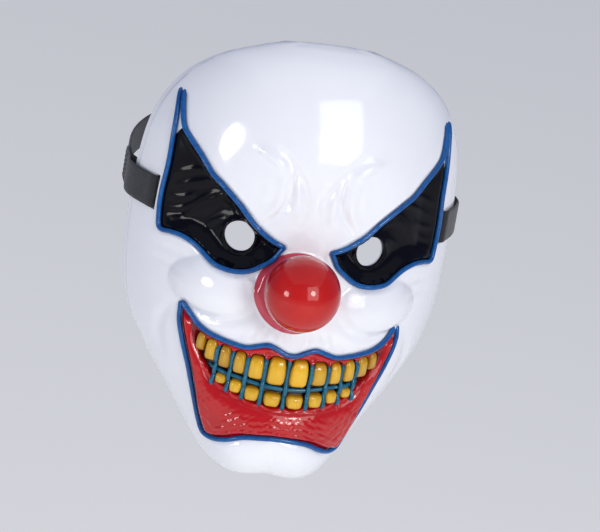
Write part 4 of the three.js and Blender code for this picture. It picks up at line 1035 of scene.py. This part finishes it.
# Uprights as shares: across, top and bottom
UPRIGHTS = [
    (-0.424, -0.245, -0.342), (-0.339, -0.250, -0.352), (-0.247, -0.252, -0.360),
    (-0.141, -0.250, -0.367), (0.000, -0.246, -0.369), (0.141, -0.250, -0.367),
    (0.247, -0.252, -0.360), (0.339, -0.250, -0.352), (0.424, -0.245, -0.342),
]


def lying_height(spots, under_wire=None):
    """Height of a thin wire's middle: the highest of mouth and teeth across its width and a little
    ahead, made smooth, and its radius; where it crosses the bite wire, that wire's thickness more."""
    heights = []
    way = np.gradient(spots, axis=0)
    way /= np.linalg.norm(way, axis=1, keepdims=True)
    for shift in (-0.6, 0.0, 0.6):
        x = spots[:, 0] - way[:, 1] * shift
        z = spots[:, 1] + way[:, 0] * shift
        heights.append(np.maximum(mouth_relief(x, z)[0], tooth_height(x, z)) - 0.3 * abs(shift))
    top = np.max(heights, axis=0)
    top = np.max([np.roll(top, k) for k in (-1, 0, 1)], axis=0)
    middle = running_mean(top, 3) + THIN_RADIUS * 0.9
    if under_wire is not None:
        bite_spots, bite_middle = under_wire
        gap, share = near_line(bite_spots, spots[:, 0], spots[:, 1])
        over = np.interp(share, np.linspace(0, 1, len(bite_middle)), bite_middle) + 2 * THIN_RADIUS
        middle = np.maximum(middle, over - 0.16 * gap**2)
    return middle


# Clear blue-green vinyl over the same core
teal_sleeve = new_material("teal_sleeve")
place = add_node(teal_sleeve, "ShaderNodeTexCoord").outputs["Object"]
cloud = add_node(teal_sleeve, "ShaderNodeTexNoise", {"Scale": 120.0, "Detail": 2.0}, Vector=place)
teal = add_node(teal_sleeve, "ShaderNodeMix", {"data_type": "RGBA", 6: hex_colour("#0F4A66"),
                7: hex_colour("#1F7796")}, _0=cloud.outputs["Fac"])
shader = add_node(teal_sleeve, "ShaderNodeBsdfPrincipled", {"Roughness": 0.4, "Specular IOR Level": 0.1,
                  "Coat Weight": 0.6, "Coat Roughness": 0.08}, Base_Color=teal.outputs[2])
add_node(teal_sleeve, "ShaderNodeOutputMaterial", Surface=shader.outputs[0])

bite_spots = even_line(in_mm(BITE_LINE), BITE_STEP)
bite_middle = lying_height(bite_spots)
thin_routes = [("bite", bite_spots, bite_middle)]
for number, (across, top, bottom) in enumerate(UPRIGHTS, 1):
    spots = even_line(in_mm([(across, top), (across, bottom)]), UPRIGHT_STEP)
    thin_routes.append((f"upright_{number}", spots, lying_height(spots, (bite_spots, bite_middle))))
for number, (name, spots, middle) in enumerate(thin_routes):
    from_end = np.minimum(np.arange(len(spots)), np.arange(len(spots))[::-1]) * UPRIGHT_STEP
    middle = middle - END_SINK * (1 - soft_step(0, 2.2, from_end))
    u, v = place_at(spots[:, 0], spots[:, 1])
    points, faces, _, _ = tube(skin_point(u, v, middle), THIN_RADIUS, THIN_SIDES)
    wire = make_piece(f"thin_wire_{name}", points, faces, sharp=60)
    wire.data.materials.append(teal_sleeve)
    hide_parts("bite_wire" if number == 0 else f"tooth_wire_{number}")
    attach(wire, "root")

# The strap: flat woven elastic, 16 mm wide. Each end goes out through a slot, round the edge of
# the face and back on itself, where it is sewn down with two rows of thread.
STRAP_WIDTH = 16.0
STRAP_THICKNESS = 1.2
STRAP_STEP = 1.6
STRAP_LINES = 33
STRAP_EDGE_POWER = 12
STRAP_RIBS = 14
RIB_SHARE = 0.06
SEAM_MIDDLE = 71.2
BACK_REACH = (77.8, 123.8)
STRAP_END = [
    (76.6, 65.6), (74.4, 60.0), (72.35, 54.1), (70.25, 49.0), (67.9, 44.1), (66.35, 41.0), (66.1, 39.1),
    (67.95, 37.6), (70.1, 36.5), (71.7, 37.9), (73.35, 41.3), (75.9, 46.4), (78.25, 51.9), (79.9, 57.5),
    (80.2, 62.5), (79.7, 67.5), (79.2, 72.0), (79.05, 78.0), (78.75, 84.0),
]
round_head = np.linspace(math.pi / 2, 0.0, 15)[:-1]
half_plan = [(BACK_REACH[0] * math.cos(t), SEAM_MIDDLE + BACK_REACH[1] * math.sin(t)) for t in round_head]
half_plan += [(BACK_REACH[0], SEAM_MIDDLE)] + STRAP_END
plan = [(-x, y) for x, y in half_plan[:0:-1]] + half_plan
strap_plan = even_line(plan, STRAP_STEP)
way = np.gradient(strap_plan, axis=0)
way /= np.linalg.norm(way, axis=1, keepdims=True)
outward = np.stack([-way[:, 1], way[:, 0]], -1)
across_strap = np.linspace(-0.5, 0.5, STRAP_LINES)
half_thick = STRAP_THICKNESS / 2 * (1 - np.abs(2 * across_strap) ** STRAP_EDGE_POWER) ** 0.5
half_thick = half_thick * (1 + RIB_SHARE * np.cos(2 * math.pi * across_strap * STRAP_RIBS))
ring_z = np.concatenate([across_strap, across_strap[-2:0:-1]]) * STRAP_WIDTH + STRAP_LEVEL
ring_off = np.concatenate([half_thick, -half_thick[-2:0:-1]])
strap_rings = np.concatenate([
    strap_plan[:, None] + outward[:, None] * ring_off[None, :, None],
    np.broadcast_to(ring_z[None, :, None], (len(strap_plan), len(ring_z), 1))], -1)
around_count = len(ring_z)
strap_bands = ring_quads(0, len(strap_plan), around_count)
over = np.arange(1, STRAP_LINES - 1)
under = around_count - over
cap_quads = np.stack([under[:-1], under[1:], over[1:], over[:-1]], -1)
cap_corners = np.array([(under[0], 1, 0), (under[-1], STRAP_LINES - 1, STRAP_LINES - 2)])
last_ring = (len(strap_plan) - 1) * around_count
strap_faces = [strap_bands, cap_quads, cap_corners,
               cap_quads[:, ::-1] + last_ring, cap_corners[:, ::-1] + last_ring]
strap_uv = np.stack([np.tile(ring_z - STRAP_LEVEL, len(strap_plan)),
                     np.repeat(length_along(strap_plan), around_count)], -1)

# Elastic webbing of black covered rubber and nylon: a rib every 1.1 mm along it, crossed by weft
# picks 0.9 mm apart, matt with a faint sheen on each rib
RIB_PITCH = 1.1
PICK_PITCH = 0.9
elastic = new_material("woven_elastic")
strap_map = add_node(elastic, "ShaderNodeUVMap", {"uv_map": "webbing"}).outputs[0]
split = add_node(elastic, "ShaderNodeSeparateXYZ", Vector=strap_map)
rib = add_node(elastic, "ShaderNodeMath", {"operation": "MULTIPLY", 1: 2 * math.pi / RIB_PITCH},
               _0=split.outputs[0])
rib = add_node(elastic, "ShaderNodeMath", {"operation": "SINE"}, _0=rib.outputs[0])
pick = add_node(elastic, "ShaderNodeMath", {"operation": "MULTIPLY", 1: 2 * math.pi / PICK_PITCH},
                _0=split.outputs[1])
pick = add_node(elastic, "ShaderNodeMath", {"operation": "SINE"}, _0=pick.outputs[0])
weave = add_node(elastic, "ShaderNodeMath", {"operation": "MULTIPLY"}, _0=rib.outputs[0], _1=pick.outputs[0])
cloth = add_node(elastic, "ShaderNodeMath", {"operation": "MULTIPLY_ADD", 1: 0.6}, _0=rib.outputs[0],
                 _2=weave.outputs[0])
place = add_node(elastic, "ShaderNodeTexCoord").outputs["Object"]
fuzz = add_node(elastic, "ShaderNodeTexNoise", {"Scale": 1400.0, "Detail": 3.0}, Vector=place)
tone = add_node(elastic, "ShaderNodeMapRange", {"From Min": -1.6, "From Max": 1.6}, Value=cloth.outputs[0])
black = add_node(elastic, "ShaderNodeMix", {"data_type": "RGBA", 6: hex_colour("#0D0E11"),
                 7: hex_colour("#24262C")}, _0=tone.outputs[0])
raised = add_node(elastic, "ShaderNodeMath", {"operation": "MULTIPLY_ADD", 1: 0.5}, _0=fuzz.outputs["Fac"],
                  _2=cloth.outputs[0])
woven = add_node(elastic, "ShaderNodeBump", {"Strength": 0.8, "Distance": 0.00012}, Height=raised.outputs[0])
shader = add_node(elastic, "ShaderNodeBsdfPrincipled", {"Roughness": 0.72, "Sheen Weight": 0.35,
                  "Sheen Roughness": 0.4}, Base_Color=black.outputs[2], Normal=woven.outputs[0])
add_node(elastic, "ShaderNodeOutputMaterial", Surface=shader.outputs[0])
elastic_strap = make_piece("elastic_strap", strap_rings.reshape(-1, 3), strap_faces, sharp=60,
                           webbing=strap_uv)
elastic_strap.data.materials.append(elastic)
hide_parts("strap")
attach(elastic_strap, "root")

# Stitches: two rows of waxed thread across each folded end
STITCH_ROWS = (75.0, 82.0)
STITCH_PITCH = 2.2
STITCH_RADIUS = 0.28
STITCH_HALF = 0.38 * STITCH_PITCH
STITCH_RISE = 0.16
STITCH_SINK = 0.12
STITCH_SPOTS = 7
STITCH_SIDES = 8
seam_x, seam_y = zip(*STRAP_END[-3:])
stitch_z = STRAP_LEVEL + STITCH_PITCH * (np.arange(6) - 2.5)
stitch_parts = []
for side in (-1, 1):
    for y in STITCH_ROWS:
        x = side * (np.interp(y, seam_y, seam_x) + STRAP_THICKNESS / 2)
        for z in stitch_z:
            arc = np.linspace(-1, 1, STITCH_SPOTS)
            lift = side * STITCH_RISE * (1 - arc**4) - side * STITCH_SINK
            path = np.stack([x + lift, np.full(STITCH_SPOTS, y), z + arc * STITCH_HALF], -1)
            stitch_parts.append(tube(path, STITCH_RADIUS, STITCH_SIDES, 2))
shift = 0
stitch_points, stitch_faces = [], []
for points, faces, _, _ in stitch_parts:
    stitch_points.append(points)
    stitch_faces += [part + shift for part in faces]
    shift += len(points)
thread = new_material("waxed_thread")
place = add_node(thread, "ShaderNodeTexCoord").outputs["Object"]
ply = add_node(thread, "ShaderNodeTexNoise", {"Scale": 2500.0, "Detail": 2.0}, Vector=place)
black = add_node(thread, "ShaderNodeMix", {"data_type": "RGBA", 6: hex_colour("#131418"),
                 7: hex_colour("#3A3C44")}, _0=ply.outputs["Fac"])
shader = add_node(thread, "ShaderNodeBsdfPrincipled", {"Roughness": 0.5}, Base_Color=black.outputs[2])
add_node(thread, "ShaderNodeOutputMaterial", Surface=shader.outputs[0])
strap_stitches = make_piece("strap_stitches", np.concatenate(stitch_points), stitch_faces, sharp=60)
strap_stitches.data.materials.append(thread)
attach(strap_stitches, "root")

# The studio, in metres: a pale floor well below, a pale room, a round softbox to the left of the
# camera, an oblong one with a brighter middle to the right, and a soft light ceiling
FLOOR_LEVEL = -0.42
FLOOR_REACH = 8.0
AZIMUTH, ELEVATION, ROLL = -10.8, 16.0, 9.9
FACE_MIDDLE = Vector((0.0, 0.010, -0.010))
CAMERA_DISTANCE = 2.2
LENS = 281.0
WARM_WHITE = (1.0, 0.985, 0.94)
floor_mesh = bpy.data.meshes.new("studio_floor")
corner_signs = ((-1, -1), (1, -1), (1, 1), (-1, 1))
floor_corners = [(x * FLOOR_REACH, y * FLOOR_REACH, FLOOR_LEVEL) for x, y in corner_signs]
floor_mesh.from_pydata(floor_corners, [], [(0, 1, 2, 3)])
floor = bpy.data.objects.new("studio_floor", floor_mesh)
bpy.context.scene.collection.objects.link(floor)
# Matt background paper, lit a little from behind so that it stays pale under the part
studio_paper = new_material("studio_paper")
shader = add_node(studio_paper, "ShaderNodeBsdfPrincipled", {
    "Base Color": hex_colour("#F7F5F0"), "Roughness": 0.9, "Emission Color": hex_colour("#FFFCF4"),
    "Emission Strength": 0.24})
add_node(studio_paper, "ShaderNodeOutputMaterial", Surface=shader.outputs[0])
floor_mesh.materials.append(studio_paper)

room = bpy.data.worlds.new("pale_room")
room.use_nodes = True
room.node_tree.nodes["Background"].inputs["Color"].default_value = hex_colour("#B4C3F2")
room.node_tree.nodes["Background"].inputs["Strength"].default_value = 0.32
bpy.context.scene.world = room
bpy.context.scene.view_settings.view_transform = "Standard"

level_turn = Euler((math.radians(90 - ELEVATION), 0, math.radians(AZIMUTH))).to_matrix()
camera_turn = level_turn @ Euler((0, 0, math.radians(ROLL))).to_matrix()
camera_data = bpy.data.cameras.new("studio_camera")
camera_data.lens = LENS
camera = bpy.data.objects.new("studio_camera", camera_data)
camera.rotation_euler = camera_turn.to_euler()
camera.location = FACE_MIDDLE + camera_turn @ Vector((0, 0, CAMERA_DISTANCE))
bpy.context.scene.collection.objects.link(camera)
bpy.context.scene.camera = camera


def lamp(name, place, target, power, shape, size):
    """An area lamp at a place, facing its target: power in watts, size in metres."""
    data = bpy.data.lights.new(name, "AREA")
    data.shape = shape
    data.size, data.size_y = size
    data.energy = power
    data.color = WARM_WHITE
    holder = bpy.data.objects.new(name, data)
    holder.location = place
    holder.rotation_euler = (place - target).to_track_quat("Z", "Y").to_euler()
    bpy.context.scene.collection.objects.link(holder)


# Each lamp's turn from the camera in degrees, distance in metres, power in watts, shape and size
for name, turn, away, power, shape, size in (
    ("round_softbox", -48, 1.5, 4.6, "DISK", (0.4, 0.4)),
    ("oblong_softbox", 31.5, 1.5, 8.0, "RECTANGLE", (0.9, 1.05)),
    ("oblong_softbox_middle", 31.5, 1.44, 4.6, "DISK", (0.34, 0.34)),
):
    beside_camera = camera_turn @ Vector((math.sin(math.radians(turn)), 0.02, math.cos(math.radians(turn))))
    lamp(name, FACE_MIDDLE + beside_camera * away, FACE_MIDDLE, power, shape, size)
ceiling_place = Vector((0.0, 0.4, 2.8))
lamp("ceiling", ceiling_place, Vector((0.0, 0.4, 0.0)), 40.0, "RECTANGLE", (6.0, 6.0))
